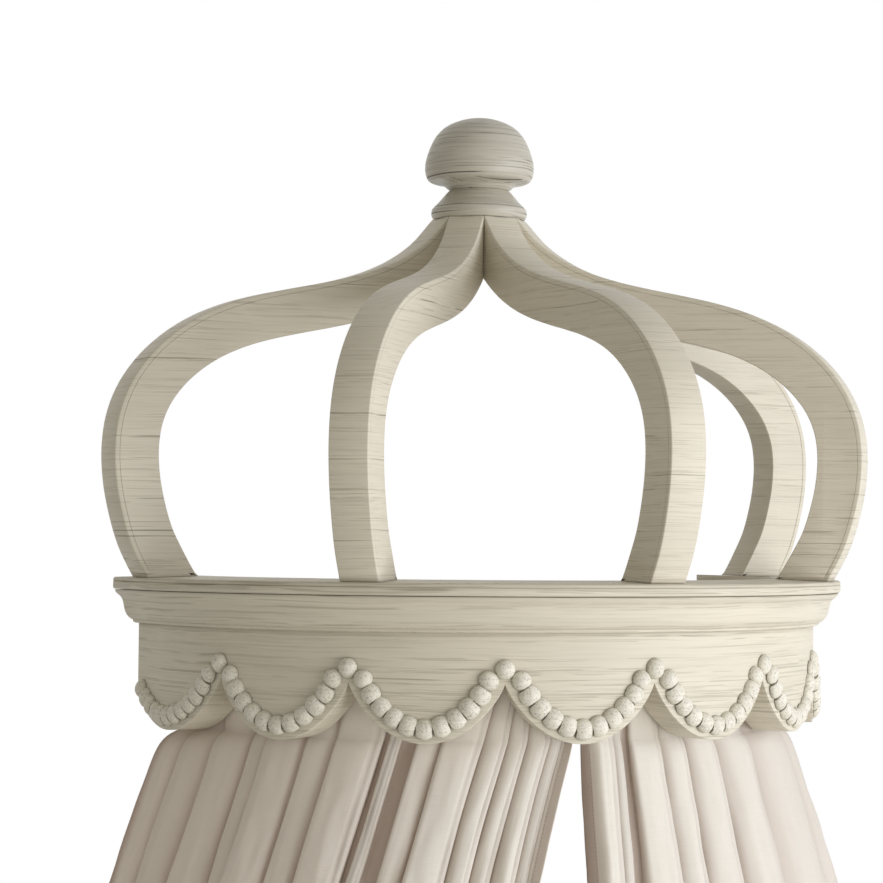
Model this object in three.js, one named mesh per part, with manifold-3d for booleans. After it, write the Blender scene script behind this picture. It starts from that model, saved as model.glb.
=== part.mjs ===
// Half-round wooden bed crown with scalloped frieze, bead swags, five ribs, a turned finial and two
// gathered curtains. Millimetres, +Z up, front faces -Y. The origin is at the middle of the back
// rail's face on the wall. Heights in the crown's own group count from the ring's top.
import * as THREE from 'three';
import * as BufferGeometryUtils from 'three/addons/utils/BufferGeometryUtils.js';
import Module from 'manifold-3d';

const wasm = await Module();
wasm.setup();

// Driving sizes of the plan: the frieze face carries everything else
const friezeRadius = 329;
const axisToWall = 54;
const lipOverhang = 26;
const lipRadius = friezeRadius + lipOverhang;
const fitGap = 0.3;
const cutOver = 5;
const mergeSpan = 0.001;
const arcSteps = 48;
const returnSteps = 2;

// Top board
const boardThickness = 10;
const boardRise = 2;
const boardNoseDrop = 3.5;
const boardNoseRound = 3.5;
const boardUnderStep = 2;

// Frieze board
const friezeThickness = 36;
const friezeDrop = 138.5;
const notchDrop = 86.5;
const scallopWidthShare = 0.24089;
const endScallopWidthShare = 0.3101;
const scallopRoundShare = 0.8;
const scallopSteps = 16;
const scallopsEachSide = 3;

// Cornice moulding under the lip
const corniceTopSetback = 3;
const corniceFilletSetback = 23.5;
const corniceDrop = 43;

// Beads
const beadRadius = 8.6;
const beadHeight = 7.5;
const beadPitch = 13.9;
const beadEdgeOffset = 12.7;
const beadNotchOffset = 1.7;
const beadShoulderOutShare = 0.78;
const beadShoulderUpShare = 0.66;
const beadSides = 8;
const peakBeadDrop = 73.4;
const swagTopDrop = 84.2;

// Ribs
const ribThickness = 36;
const ribDepth = 43;
const ribOverreach = 55;
const ribFootSetback = 5;
const ribReach = friezeRadius + ribOverreach;
const ribHeight = 350.6;
const ribArris = 2.5;
const ribStepsOuter = 30;
const ribStepsInner = 24;
const ribAngles = [-90, -45, 0, 45, 90];
const hubRadius = 12;
const hubDepth = 35;

// Dowels in the rib feet
const dowelRadius = 5;
const dowelSetback = 8;
const dowelInRib = 20;
const dowelInRing = 26;

// Finial
const collarHeight = 29.1;
const collarBaseRadius = 44.4;
const collarRollRadius = 47;
const neckRadius = 28.9;
const knobRadius = 52.6;
const knobHeight = 72;
const turnedSides = 40;
const pinRadius = 6;
const pinInKnob = 30;
const pinInHub = 28;

// Back rail
const railThickness = 18;
const railHeight = 80;
const railTopDrop = 14;
const railHoleRadius = 3;
const railHoleInset = 126;
const railHoleSinkRadius = 6;
const railHoleSinkDepth = 3.5;

// Hook tapes inside the frieze
const tapeThickness = 2;
const tapeHeight = 30;
const tapeTopDrop = 42;

// Curtains
const clothThickness = 2;
const clothGap = 0.8;
const curtainTopDrop = 45;
const curtainDrop = 2000;
const curtainSideFlare = 221;
const curtainFrontFlare = 39;
const curtainBottomHalfWidth = friezeRadius + curtainSideFlare;
const curtainBottomReach = friezeRadius + curtainFrontFlare;
const curtainFlareLength = 590;
const curtainWallGap = 28;
const headFoldDepth = 4.5;
const ringFoldDepth = 6;
const freeFoldDepth = 3.5;
const hemFoldDepth = 24;
const leftSpring = 20;
const rightSpring = 11.5;
const springLength = 6;
const springRowShare = 3;
const springSideShares = [0.1, 1.5];
const springPower = 2;
const foldSteps = 6;
const leftStartShare = 0.5;
const rightStartShare = 0;
const leftTopEdge = -11.6;
const rightTopEdge = -8.8;
const leftHemEdge = -26.5;
const rightHemEdge = -4.3;
const valleyShare = 1.6;
const valleyLimitShares = [0.9, 2.6];
const foldSwellShares = [0.3, 1.12];
const leftValleyShares = [
  0.0306, 0.1067, 0.1517, 0.1911, 0.27, 0.3157, 0.3427, 0.3878, 0.5056, 0.5707, 0.6971, 0.7496, 0.8646, 1,
];
const rightValleyShares = [
  0.025, 0.093, 0.128, 0.1848, 0.2206, 0.3063, 0.4018, 0.53, 0.61, 0.7, 0.81, 0.9, 1,
];
const hemReturnShare = 0.08;

const paint = (color) => new THREE.MeshStandardMaterial({ color, roughness: 0.62, metalness: 0 });
const creamPaint = paint(0xd2c9b6);
const beadPaint = paint(0xd6cebc);
const bareWood = paint(0xb99a6b);
const tapeNylon = new THREE.MeshStandardMaterial({ color: 0xe8e4da, roughness: 0.9, metalness: 0 });
const linen = new THREE.MeshStandardMaterial({
  color: 0xe3d3c6, roughness: 0.95, metalness: 0, side: THREE.DoubleSide,
});

const crown = new THREE.Group();
const degree = Math.PI / 180;

function add(name, geometry, material) {
  const mesh = new THREE.Mesh(geometry, material);
  mesh.name = name;
  crown.add(mesh);
  return mesh;
}

// Signed volume of an indexed geometry, used to turn its faces outward
function signedVolume(geometry) {
  const p = geometry.getAttribute('position');
  const index = geometry.getIndex();
  const a = new THREE.Vector3();
  const b = new THREE.Vector3();
  const c = new THREE.Vector3();
  let sum = 0;
  for (let i = 0; i < index.count; i += 3) {
    a.fromBufferAttribute(p, index.getX(i));
    b.fromBufferAttribute(p, index.getX(i + 1));
    c.fromBufferAttribute(p, index.getX(i + 2));
    sum += a.dot(b.cross(c));
  }
  return sum / 6;
}

function outward(geometry) {
  if (signedVolume(geometry) < 0) {
    const index = geometry.getIndex();
    for (let i = 0; i < index.count; i += 3) {
      const first = index.getX(i);
      index.setX(i, index.getX(i + 1));
      index.setX(i + 1, first);
    }
  }
  return geometry;
}

function indexed(positions, faces) {
  const geometry = new THREE.BufferGeometry();
  geometry.setAttribute('position', new THREE.Float32BufferAttribute(positions, 3));
  geometry.setIndex(faces);
  return outward(geometry);
}

// Shared vertices only, without the flat triangles that a revolved profile leaves on its axis
function merged(geometry) {
  const copy = geometry.clone();
  copy.deleteAttribute('normal');
  copy.deleteAttribute('uv');
  const joined = BufferGeometryUtils.mergeVertices(copy, mergeSpan);
  const index = Array.from(joined.getIndex().array);
  const kept = [];
  for (let i = 0; i < index.length; i += 3) {
    const [a, b, c] = index.slice(i, i + 3);
    if (a !== b && b !== c && c !== a) kept.push(a, b, c);
  }
  joined.setIndex(kept);
  return joined;
}

function toSolid(geometry) {
  const closed = merged(geometry);
  const vertProperties = new Float32Array(closed.getAttribute('position').array);
  const triVerts = new Uint32Array(closed.getIndex().array);
  return new wasm.Manifold(new wasm.Mesh({ numProp: 3, vertProperties, triVerts }));
}

function toGeometry(solid) {
  const mesh = solid.getMesh();
  const geometry = new THREE.BufferGeometry();
  geometry.setAttribute('position', new THREE.Float32BufferAttribute(mesh.vertProperties, 3));
  geometry.setIndex(Array.from(mesh.triVerts));
  return geometry;
}

// Plan of the crown: a half circle round the finial axis and a straight return to the wall on each
// side. The place along it is the run on the frieze face from the front, positive to the right.
const quarterRun = friezeRadius * Math.PI / 2;
const halfRun = quarterRun + axisToWall;

function planNormal(run) {
  const turned = THREE.MathUtils.clamp(run, -quarterRun, quarterRun) / friezeRadius;
  return new THREE.Vector3(Math.sin(turned), -Math.cos(turned), 0);
}

function planPoint(run, radius, height) {
  const normal = planNormal(run);
  const past = Math.max(Math.abs(run) - quarterRun, 0);
  return new THREE.Vector3(normal.x * radius, normal.y * radius - axisToWall + past, height);
}

function planStations(limit, between) {
  const runs = [];
  for (let i = 0; i <= arcSteps; i += 1) runs.push(-quarterRun + 2 * quarterRun * i / arcSteps);
  for (let i = 1; i <= returnSteps; i += 1) {
    const run = quarterRun + (limit - quarterRun) * i / returnSteps;
    runs.push(run);
    runs.unshift(-run);
  }
  return between ? runs.filter((run) => run >= between[0] && run <= between[1]) : runs;
}

// Sweeps a closed section, given at each station as [radius, height] points, along the plan
function sweepPlan(runs, sectionAt) {
  const positions = [];
  const faces = [];
  const first = sectionAt(runs[0]);
  const count = first.length;
  for (const run of runs) {
    for (const [radius, height] of sectionAt(run)) positions.push(...planPoint(run, radius, height));
  }
  for (let i = 0; i + 1 < runs.length; i += 1) {
    for (let j = 0; j < count; j += 1) {
      const a = i * count + j;
      const b = i * count + (j + 1) % count;
      faces.push(a, b, a + count, b, b + count, a + count);
    }
  }
  const cap = (run, start, reversed) => {
    const outline = sectionAt(run).map(([radius, height]) => new THREE.Vector2(radius, height));
    const clockwise = THREE.ShapeUtils.isClockWise(outline);
    for (const [a, b, c] of THREE.ShapeUtils.triangulateShape(outline, [])) {
      const same = THREE.ShapeUtils.isClockWise([outline[a], outline[b], outline[c]]) === clockwise;
      if (same !== reversed) faces.push(start + a, start + b, start + c);
      else faces.push(start + a, start + c, start + b);
    }
  };
  cap(runs[0], 0, true);
  cap(runs[runs.length - 1], (runs.length - 1) * count, false);
  return indexed(positions, faces);
}

// Height of the ring's top surface at a distance from the finial axis
const boardFlatRadius = lipRadius - boardNoseRound;
const friezeInner = friezeRadius - friezeThickness;

function boardTopAt(radius) {
  return boardRise * (boardFlatRadius - radius) / (boardFlatRadius - friezeInner);
}

// Top board: sloped top, rounded nose and a small step back underneath
const noseUnder = -boardNoseDrop - (boardThickness - boardNoseDrop / 2);
function boardSection() {
  const nose = [];
  for (let i = 0; i <= 3; i += 1) {
    const turn = Math.PI / 2 * i / 3;
    nose.push([
      boardFlatRadius + boardNoseRound * Math.sin(turn),
      -boardNoseDrop + boardNoseDrop * Math.cos(turn),
    ]);
  }
  return [
    [friezeInner, boardRise],
    ...nose,
    [lipRadius, noseUnder + boardUnderStep],
    [lipRadius - boardUnderStep, noseUnder],
    [friezeInner, noseUnder],
  ];
}
const boardMesh = sweepPlan(planStations(halfRun), boardSection);

// Cornice moulding: quirk, long cove, rounded foot and fillet, as shares of its own width and height
const corniceTop = noseUnder - fitGap;
const corniceOuter = lipRadius - corniceTopSetback;
const corniceWidth = corniceFilletSetback - corniceTopSetback;
const corniceHeight = corniceTop + corniceDrop;
const corniceShares = [
  [0, 0], [0.02, 0.053], [0.117, 0.128], [0.254, 0.202], [0.341, 0.305], [0.39, 0.451],
  [0.429, 0.58], [0.512, 0.725], [0.644, 0.838], [0.82, 0.906], [0.844, 1],
];
function corniceSection() {
  const face = corniceShares.map(([inShare, downShare]) => [
    corniceOuter - inShare * corniceWidth,
    corniceTop - downShare * corniceHeight,
  ]);
  return [...face, [friezeRadius + fitGap, -corniceDrop], [friezeRadius + fitGap, corniceTop]];
}
add('cornice_moulding', sweepPlan(planStations(halfRun), corniceSection), creamPaint);

// Scallops: three whole ones and a wider one cut off by the wall on each side of the front notch
const scallopWidth = halfRun * scallopWidthShare;
const endScallopWidth = halfRun * endScallopWidthShare;
const scallops = [];
for (let i = -scallopsEachSide; i < scallopsEachSide; i += 1) {
  scallops.push({ centre: (i + 0.5) * scallopWidth, half: scallopWidth / 2 });
}
const endCentre = scallopsEachSide * scallopWidth + endScallopWidth / 2;
scallops.unshift({ centre: -endCentre, half: endScallopWidth / 2 });
scallops.push({ centre: endCentre, half: endScallopWidth / 2 });

function scallopEdge(scallop, run) {
  const across = THREE.MathUtils.clamp((run - scallop.centre) / scallop.half, -1, 1);
  return -notchDrop - (friezeDrop - notchDrop) * (1 - across * across) ** scallopRoundShare;
}

function friezeEdge(run) {
  return Math.min(...scallops.map((scallop) => scallopEdge(scallop, run)));
}

// Stations of the frieze run closer together beside each notch
const friezeRuns = [-halfRun, halfRun];
for (const scallop of scallops) {
  for (let i = 0; i <= scallopSteps; i += 1) {
    const run = scallop.centre - scallop.half * Math.cos(Math.PI * i / scallopSteps);
    const apart = friezeRuns.every((other) => Math.abs(other - run) > fitGap);
    if (apart && Math.abs(run) < halfRun) friezeRuns.push(run);
  }
}
friezeRuns.sort((a, b) => a - b);
const friezeTop = noseUnder - fitGap;
const friezeMesh = sweepPlan(friezeRuns, (run) => [
  [friezeRadius, friezeTop],
  [friezeRadius, friezeEdge(run)],
  [friezeInner, friezeEdge(run)],
  [friezeInner, friezeTop],
]);

// Dowel holes through the board and into the frieze, one under each rib foot
const dowelCentre = friezeRadius - dowelSetback;
const dowels = ribAngles.map((angle) => ({
  x: dowelCentre * Math.sin(angle * degree),
  y: -dowelCentre * Math.cos(angle * degree) - axisToWall,
}));

function uprightCylinder(radius, bottom, top, x, y, sides) {
  const shape = new THREE.CylinderGeometry(radius, radius, top - bottom, sides);
  shape.rotateX(Math.PI / 2);
  shape.translate(x, y, (top + bottom) / 2);
  return shape;
}

let boardSolid = toSolid(boardMesh);
let friezeSolid = toSolid(friezeMesh);
for (const { x, y } of dowels) {
  const hole = toSolid(uprightCylinder(dowelRadius + fitGap, -dowelInRing - fitGap, cutOver, x, y, 12));
  boardSolid = boardSolid.subtract(hole);
  friezeSolid = friezeSolid.subtract(hole);
}
add('top_board', toGeometry(boardSolid), creamPaint);
add('frieze_board', toGeometry(friezeSolid), creamPaint);

// Half bead standing on the frieze face
function bead(run, height, turn) {
  const shoulder = [beadRadius * beadShoulderOutShare, beadHeight * beadShoulderUpShare];
  const profile = [[0, 0], [beadRadius, 0], shoulder, [0, beadHeight]];
  const curve = profile.map(([radius, rise]) => new THREE.Vector2(radius, rise));
  const dome = merged(new THREE.LatheGeometry(curve, beadSides));
  const normal = planNormal(run);
  const up = new THREE.Vector3(0, 0, 1);
  const side = new THREE.Vector3().crossVectors(normal, up);
  dome.rotateY(turn);
  dome.applyMatrix4(new THREE.Matrix4().makeBasis(side, normal, up));
  const foot = planPoint(run, friezeRadius + fitGap, height);
  dome.translate(foot.x, foot.y, foot.z);
  return dome;
}

// Places of the beads of one swag: a line at a set distance inside the scallop's edge
function swagPlaces(scallop) {
  const line = [];
  const fine = 400;
  for (let i = 1; i < fine; i += 1) {
    const across = -Math.cos(Math.PI * i / fine);
    const run = scallop.centre + across * scallop.half;
    const step = scallop.half / fine;
    const slope = (scallopEdge(scallop, run + step) - scallopEdge(scallop, run - step)) / (2 * step);
    const length = Math.hypot(1, slope);
    const offset = beadEdgeOffset + beadNotchOffset * Math.abs(slope) / length;
    line.push([run - slope / length * offset, scallopEdge(scallop, run) + offset / length]);
  }
  const inside = (run) => Math.abs(run - scallop.centre) < scallop.half;
  const kept = line.filter(([run, height]) => height < -swagTopDrop && inside(run));
  const lengths = [0];
  for (let i = 1; i < kept.length; i += 1) {
    lengths.push(lengths[i - 1] + Math.hypot(kept[i][0] - kept[i - 1][0], kept[i][1] - kept[i - 1][1]));
  }
  const total = lengths[lengths.length - 1];
  const count = Math.round(total / beadPitch) + 1;
  const places = [];
  for (let i = 0; i < count; i += 1) {
    const wanted = total * i / (count - 1);
    let j = 1;
    while (j < lengths.length - 1 && lengths[j] < wanted) j += 1;
    const share = (wanted - lengths[j - 1]) / (lengths[j] - lengths[j - 1]);
    places.push([
      THREE.MathUtils.lerp(kept[j - 1][0], kept[j][0], share),
      THREE.MathUtils.lerp(kept[j - 1][1], kept[j][1], share),
    ]);
  }
  return places.filter(([run]) => Math.abs(run) < halfRun - beadRadius);
}

scallops.forEach((scallop, index) => {
  const places = swagPlaces(scallop);
  let strip = null;
  places.forEach(([run, height], i) => {
    const dome = toSolid(bead(run, height, i * Math.PI / beadSides / 2));
    strip = strip ? strip.add(dome) : dome;
  });
  add(`bead_swag_${index + 1}`, toGeometry(strip), beadPaint);
});
for (let i = -scallopsEachSide; i <= scallopsEachSide; i += 1) {
  add(`peak_bead_${i + scallopsEachSide + 1}`, merged(bead(i * scallopWidth, -peakBeadDrop, 0)), beadPaint);
}

// Rib outline in its own plane: x runs out from the finial axis, y is height. Points of the outer
// curve are shares of the rib's reach and height.
const ribFootOuter = lipRadius - ribFootSetback;
const ribCurveShares = [
  [0.9497, 0.08], [0.9755, 0.1667], [0.9918, 0.2567], [0.9955, 0.3466], [0.9837, 0.4328], [0.9538, 0.5121],
  [0.9071, 0.5824], [0.8472, 0.6425], [0.7779, 0.6912], [0.7026, 0.7277], [0.6237, 0.7544], [0.5428, 0.7752],
  [0.4617, 0.7941], [0.3821, 0.8152], [0.3057, 0.8423], [0.2342, 0.8795], [0.1692, 0.9307], [0.1127, 1],
];
const outerCurve = new THREE.SplineCurve([
  new THREE.Vector2(ribFootOuter, boardTopAt(ribFootOuter)),
  ...ribCurveShares.map(([outShare, upShare]) => new THREE.Vector2(ribReach * outShare, ribHeight * upShare)),
]);
const mitreAngle = 22.5 * degree;
const mitreRadius = ribThickness / 2 / Math.tan(mitreAngle);
const coreRadius = hubRadius + fitGap;

function ribOutline() {
  const outer = outerCurve.getSpacedPoints(ribStepsOuter);
  outer[0].y += fitGap;
  outer[outer.length - 1].y = ribHeight - fitGap;
  const inner = [];
  for (let i = 0; i <= ribStepsInner; i += 1) {
    const point = outerCurve.getPointAt(i / ribStepsInner);
    const along = outerCurve.getTangentAt(i / ribStepsInner);
    inner.push(new THREE.Vector2(point.x - along.y * ribDepth, point.y + along.x * ribDepth));
  }
  const start = inner[0];
  const second = inner[1];
  const footInner = start.x - start.y / (second.y - start.y) * (second.x - start.x);
  const kept = inner.filter((point) => point.x > mitreRadius && point.y > boardTopAt(point.x) + 2 * ribArris);
  const last = kept[kept.length - 1];
  return [
    ...outer,
    new THREE.Vector2(coreRadius, ribHeight - fitGap),
    new THREE.Vector2(coreRadius, last.y),
    ...kept.reverse(),
    new THREE.Vector2(footInner, boardTopAt(footInner) + fitGap),
  ];
}

function ribBlank() {
  const shape = new THREE.Shape(ribOutline());
  const blank = new THREE.ExtrudeGeometry(shape, {
    depth: ribThickness - 2 * ribArris, steps: 1, curveSegments: 1, bevelEnabled: true, bevelSegments: 1,
    bevelSize: ribArris, bevelThickness: ribArris, bevelOffset: -ribArris,
  });
  blank.rotateX(Math.PI / 2);
  blank.translate(0, ribThickness / 2 - ribArris, 0);
  return toSolid(blank);
}

// Plan wedge that mitres a rib to its neighbours; an end rib is mitred on its front side only
function mitreWedge(angle) {
  const tip = fitGap / 2 / Math.sin(mitreAngle);
  const reach = ribReach + cutOver;
  const rise = (reach - tip) * Math.tan(mitreAngle);
  const halfBack = ribThickness / 2 + cutOver;
  const near = fitGap / 2;
  let points = [[tip, 0], [reach, -rise], [reach, rise]];
  if (angle === -90) {
    const heel = [near, (near - tip) * Math.tan(mitreAngle)];
    points = [[near, -halfBack], [reach, -halfBack], [reach, rise], [tip, 0], heel];
  }
  if (angle === 90) {
    const heel = [near, (tip - near) * Math.tan(mitreAngle)];
    points = [[tip, 0], [reach, -rise], [reach, halfBack], [near, halfBack], heel];
  }
  const shape = new THREE.Shape(points.map(([x, y]) => new THREE.Vector2(x, y)));
  const depth = ribHeight + 2 * cutOver;
  const wedge = new THREE.ExtrudeGeometry(shape, { depth, bevelEnabled: false, steps: 1 });
  wedge.translate(0, 0, -cutOver);
  return toSolid(wedge);
}

const hubBottom = ribHeight - hubDepth;
const hubTop = ribHeight - fitGap;
ribAngles.forEach((angle, index) => {
  let rib = ribBlank().intersect(mitreWedge(angle));
  const core = uprightCylinder(coreRadius, hubBottom - ribDepth, ribHeight + cutOver, 0, 0, 24);
  rib = rib.subtract(toSolid(core));
  const holeTop = boardTopAt(dowelCentre) + dowelInRib + fitGap;
  rib = rib.subtract(toSolid(uprightCylinder(dowelRadius + fitGap, -cutOver, holeTop, dowelCentre, 0, 12)));
  const mesh = add(`rib_${index + 1}`, toGeometry(rib), creamPaint);
  mesh.rotation.z = (angle - 90) * degree;
  mesh.position.y = -axisToWall;
  const { x, y } = dowels[index];
  const top = boardTopAt(dowelCentre) + dowelInRib;
  add(`rib_dowel_${index + 1}`, merged(uprightCylinder(dowelRadius, -dowelInRing, top, x, y, 12)), bareWood);
});

// Turned finial: profiles are [radius, height above the collar seat]
function turned(name, profile, bore, material) {
  const curve = profile.map(([radius, height]) => new THREE.Vector2(radius, height));
  const body = merged(new THREE.LatheGeometry(curve, turnedSides));
  body.rotateX(Math.PI / 2);
  body.translate(0, -axisToWall, ribHeight);
  let solid = toSolid(body);
  if (bore) solid = solid.subtract(toSolid(bore));
  add(name, toGeometry(solid), material);
}

const rollSwell = collarRollRadius - collarBaseRadius;
const coneRun = collarBaseRadius - neckRadius;
const collarShares = [
  [0.72, 0.1], [1, 0.2], [0.92, 0.3], [0.6, 0.375], [0, 0.4],
];
const coneShares = [[0.3, 0.54], [0.56, 0.76], [0.84, 0.93]];
const collarProfile = [
  [0, 0],
  [collarBaseRadius, 0],
  ...collarShares.map(([outShare, upShare]) => [collarBaseRadius + outShare * rollSwell, upShare * collarHeight]),
  ...coneShares.map(([inShare, upShare]) => [collarBaseRadius - inShare * coneRun, upShare * collarHeight]),
  [neckRadius, collarHeight],
  [0, collarHeight],
];
const knobShares = [
  [0.6, 0.062], [0.8, 0.105], [0.93, 0.139], [0.977, 0.2], [1, 0.27], [0.989, 0.37], [0.952, 0.475],
  [0.893, 0.597], [0.798, 0.736], [0.68, 0.83], [0.536, 0.9], [0.346, 0.952], [0.17, 0.985],
];
const knobBase = collarHeight + fitGap;
const knobProfile = [
  [0, knobBase],
  [neckRadius, knobBase],
  ...knobShares.map(([outShare, upShare]) => [knobRadius * outShare, knobBase + knobHeight * upShare]),
  [0, knobBase + knobHeight],
];
const pinTop = ribHeight + knobBase + pinInKnob;
const pinBottom = ribHeight - pinInHub;
const holeRadius = pinRadius + fitGap;
const pinHole = () => uprightCylinder(holeRadius, pinBottom - fitGap, pinTop + fitGap, 0, -axisToWall, 16);
turned('finial_collar', collarProfile, pinHole(), creamPaint);
turned('finial_knob', knobProfile, pinHole(), creamPaint);
const hubCylinder = toSolid(uprightCylinder(hubRadius, hubBottom, hubTop, 0, -axisToWall, 24));
const hub = hubCylinder.subtract(toSolid(pinHole()));
add('hub_core', toGeometry(hub), bareWood);
add('finial_pin', merged(uprightCylinder(pinRadius, pinBottom, pinTop, 0, -axisToWall, 16)), bareWood);

// Back rail between the returns of the frieze, with two countersunk holes for the wall screws
const railLength = 2 * (friezeInner - fitGap);
const holeLevel = -railTopDrop - railHeight / 2;
const railBox = new THREE.BoxGeometry(railLength, railThickness, railHeight);
let rail = toSolid(railBox.translate(0, -railThickness / 2, holeLevel));
for (const side of [-1, 1]) {
  const x = side * (friezeRadius - railHoleInset);
  const bore = new THREE.CylinderGeometry(railHoleRadius, railHoleRadius, railThickness + 2 * cutOver, 16);
  const sink = new THREE.CylinderGeometry(railHoleRadius, railHoleSinkRadius, railHoleSinkDepth, 16);
  bore.translate(x, -railThickness / 2, holeLevel);
  sink.translate(x, -railThickness + railHoleSinkDepth / 2, holeLevel);
  rail = rail.subtract(toSolid(bore)).subtract(toSolid(sink));
}
add('back_rail', toGeometry(rail), creamPaint);

// Curtains: a closed cloth strip whose folds deepen from the head to the hem while the sheet flares
const headRun = (angle) => angle * degree * friezeRadius;
const wallRun = quarterRun + axisToWall - curtainWallGap;
const tapeOuter = friezeInner - fitGap;
const ridgeShare = 2 * foldSwellShares[1] - 1;
const clothRadius = tapeOuter - tapeThickness - clothGap - clothThickness / 2 - headFoldDepth * ridgeShare;

function tape(name, from, to) {
  const runs = planStations(wallRun, [Math.min(from, to), Math.max(from, to)]);
  if (runs[0] > Math.min(from, to)) runs.unshift(Math.min(from, to));
  if (runs[runs.length - 1] < Math.max(from, to)) runs.push(Math.max(from, to));
  const section = () => [
    [tapeOuter, -tapeTopDrop],
    [tapeOuter, -tapeTopDrop - tapeHeight],
    [tapeOuter - tapeThickness, -tapeTopDrop - tapeHeight],
    [tapeOuter - tapeThickness, -tapeTopDrop],
  ];
  add(name, sweepPlan(runs, section), tapeNylon);
}
tape('hook_tape_left', headRun(leftTopEdge), -wallRun);
tape('hook_tape_right', headRun(rightTopEdge), wallRun);

// Heights of the cloth rows: the head, the frieze's lower edge, just under it, and shares of the drop
const rowShares = [0.085, 0.26, 0.59, 1];
const clothRows = [
  -curtainTopDrop,
  -friezeDrop,
  -friezeDrop - springRowShare * springLength,
  ...rowShares.map((share) => -friezeDrop - share * (curtainDrop - friezeDrop)),
];

// How far the cloth has spread below the frieze: 0 at its edge, towards 1 over a given length
function spread(height, length) {
  return height >= -friezeDrop ? 0 : 1 - Math.exp((height + friezeDrop) / length);
}

function foldDepth(height) {
  if (height > -friezeDrop) {
    return THREE.MathUtils.mapLinear(height, -curtainTopDrop, -friezeDrop, headFoldDepth, ringFoldDepth);
  }
  const atRing = ringFoldDepth + freeFoldDepth * spread(height, springLength);
  const below = hemFoldDepth - ringFoldDepth - freeFoldDepth;
  return atRing + below * spread(height, curtainFlareLength);
}

// Fold number n lies between valleys n and n + 1 of a table of places along the cloth's run
function foldEnds(valleys, startShare, index) {
  const before = index === 0 ? -valleys[0] * startShare / (1 - startShare) : valleys[index - 1];
  return [before, valleys[index]];
}

function foldPlace(valleys, startShare, count) {
  const index = Math.min(Math.floor(count), valleys.length - 1);
  const [before, after] = foldEnds(valleys, startShare, index);
  return THREE.MathUtils.lerp(before, after, count - index);
}

// Broad folds stand higher and have flatter ridges than narrow ones
function foldRise(valleys, startShare, count) {
  const index = Math.min(Math.floor(count), valleys.length - 1);
  const [before, after] = foldEnds(valleys, startShare, index);
  const width = (after - before) * valleys.length;
  const sharpness = THREE.MathUtils.clamp(valleyShare * width, ...valleyLimitShares);
  const valley = (0.5 + 0.5 * Math.cos(2 * Math.PI * count)) ** sharpness;
  return 2 * (1 - valley) * THREE.MathUtils.clamp(width, ...foldSwellShares) - 1;
}

// Place of the cloth's middle line: across runs 0..1 from the leading edge to the wall edge
function clothBase(across, height, topEdge, hemEdge, spring, side) {
  const run = THREE.MathUtils.lerp(headRun(topEdge), side * wallRun, across);
  const springShare = THREE.MathUtils.lerp(...springSideShares, across ** springPower);
  const sprung = spring * springShare * spread(height, springLength);
  const top = planPoint(run, clothRadius + sprung, height);
  const stretched = across * (1 + hemReturnShare);
  const hemTurn = THREE.MathUtils.lerp(hemEdge * degree, side * Math.PI / 2, Math.min(stretched, 1));
  const past = Math.max(stretched - 1, 0) / hemReturnShare * (axisToWall - curtainWallGap);
  const hem = new THREE.Vector3(
    curtainBottomHalfWidth * Math.sin(hemTurn),
    -curtainBottomReach * Math.cos(hemTurn) - axisToWall + past,
    height,
  );
  return top.lerp(hem, spread(height, curtainFlareLength));
}

function alongLine(points, index, last) {
  const before = points[Math.max(index - 1, 0)];
  const after = points[Math.min(index + 1, last)];
  return new THREE.Vector3().subVectors(after, before).normalize();
}

function curtain(name, valleys, startShare, topEdge, hemEdge, spring, side) {
  const columns = Math.round((valleys.length - startShare) * foldSteps);
  const counts = Array.from({ length: columns + 1 }, (_, i) => startShare + i / foldSteps);
  const places = counts.map((count) => foldPlace(valleys, startShare, count));
  const grid = [];
  for (const height of clothRows) {
    const base = places.map((across) => clothBase(across, height, topEdge, hemEdge, spring, side));
    const line = base.map((point, i) => {
      const along = alongLine(base, i, columns);
      const out = new THREE.Vector3(along.y, -along.x, 0).multiplyScalar(side);
      return point.clone().addScaledVector(out, foldDepth(height) * foldRise(valleys, startShare, counts[i]));
    });
    grid.push(line);
  }
  const positions = [];
  for (const sideShare of [0.5, -0.5]) {
    for (const line of grid) {
      line.forEach((point, i) => {
        const along = alongLine(line, i, columns);
        positions.push(
          point.x + along.y * side * sideShare * clothThickness,
          point.y - along.x * side * sideShare * clothThickness,
          point.z,
        );
      });
    }
  }
  const width = columns + 1;
  const back = grid.length * width;
  const faces = [];
  const quad = (a, b, c, d) => faces.push(a, b, c, a, c, d);
  for (let j = 0; j + 1 < grid.length; j += 1) {
    for (let i = 0; i < columns; i += 1) {
      const a = j * width + i;
      quad(a, a + 1, a + width + 1, a + width);
      quad(back + a, back + a + width, back + a + width + 1, back + a + 1);
    }
    const left = j * width;
    const right = left + columns;
    quad(left, left + width, back + left + width, back + left);
    quad(right, back + right, back + right + width, right + width);
  }
  const lastRow = (grid.length - 1) * width;
  for (let i = 0; i < columns; i += 1) {
    quad(i, back + i, back + i + 1, i + 1);
    quad(lastRow + i, lastRow + i + 1, back + lastRow + i + 1, back + lastRow + i);
  }
  add(name, indexed(positions, faces), linen);
}
curtain('curtain_left', leftValleyShares, leftStartShare, leftTopEdge, leftHemEdge, leftSpring, -1);
curtain('curtain_right', rightValleyShares, rightStartShare, rightTopEdge, rightHemEdge, rightSpring, 1);

// The origin is at the middle of the rail's wall face
const part = new THREE.Group();
crown.position.z = railTopDrop + railHeight / 2;
part.add(crown);
export default part;
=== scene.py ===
# Half-round painted bed crown: scalloped frieze with bead swags, five ribs, a turned finial and
# two gathered linen curtains. Metres, +Z up, the wall is at Y = 0 and the front faces -Y.
import math

import bmesh
import bpy
from mathutils import Matrix, Vector, noise


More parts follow.
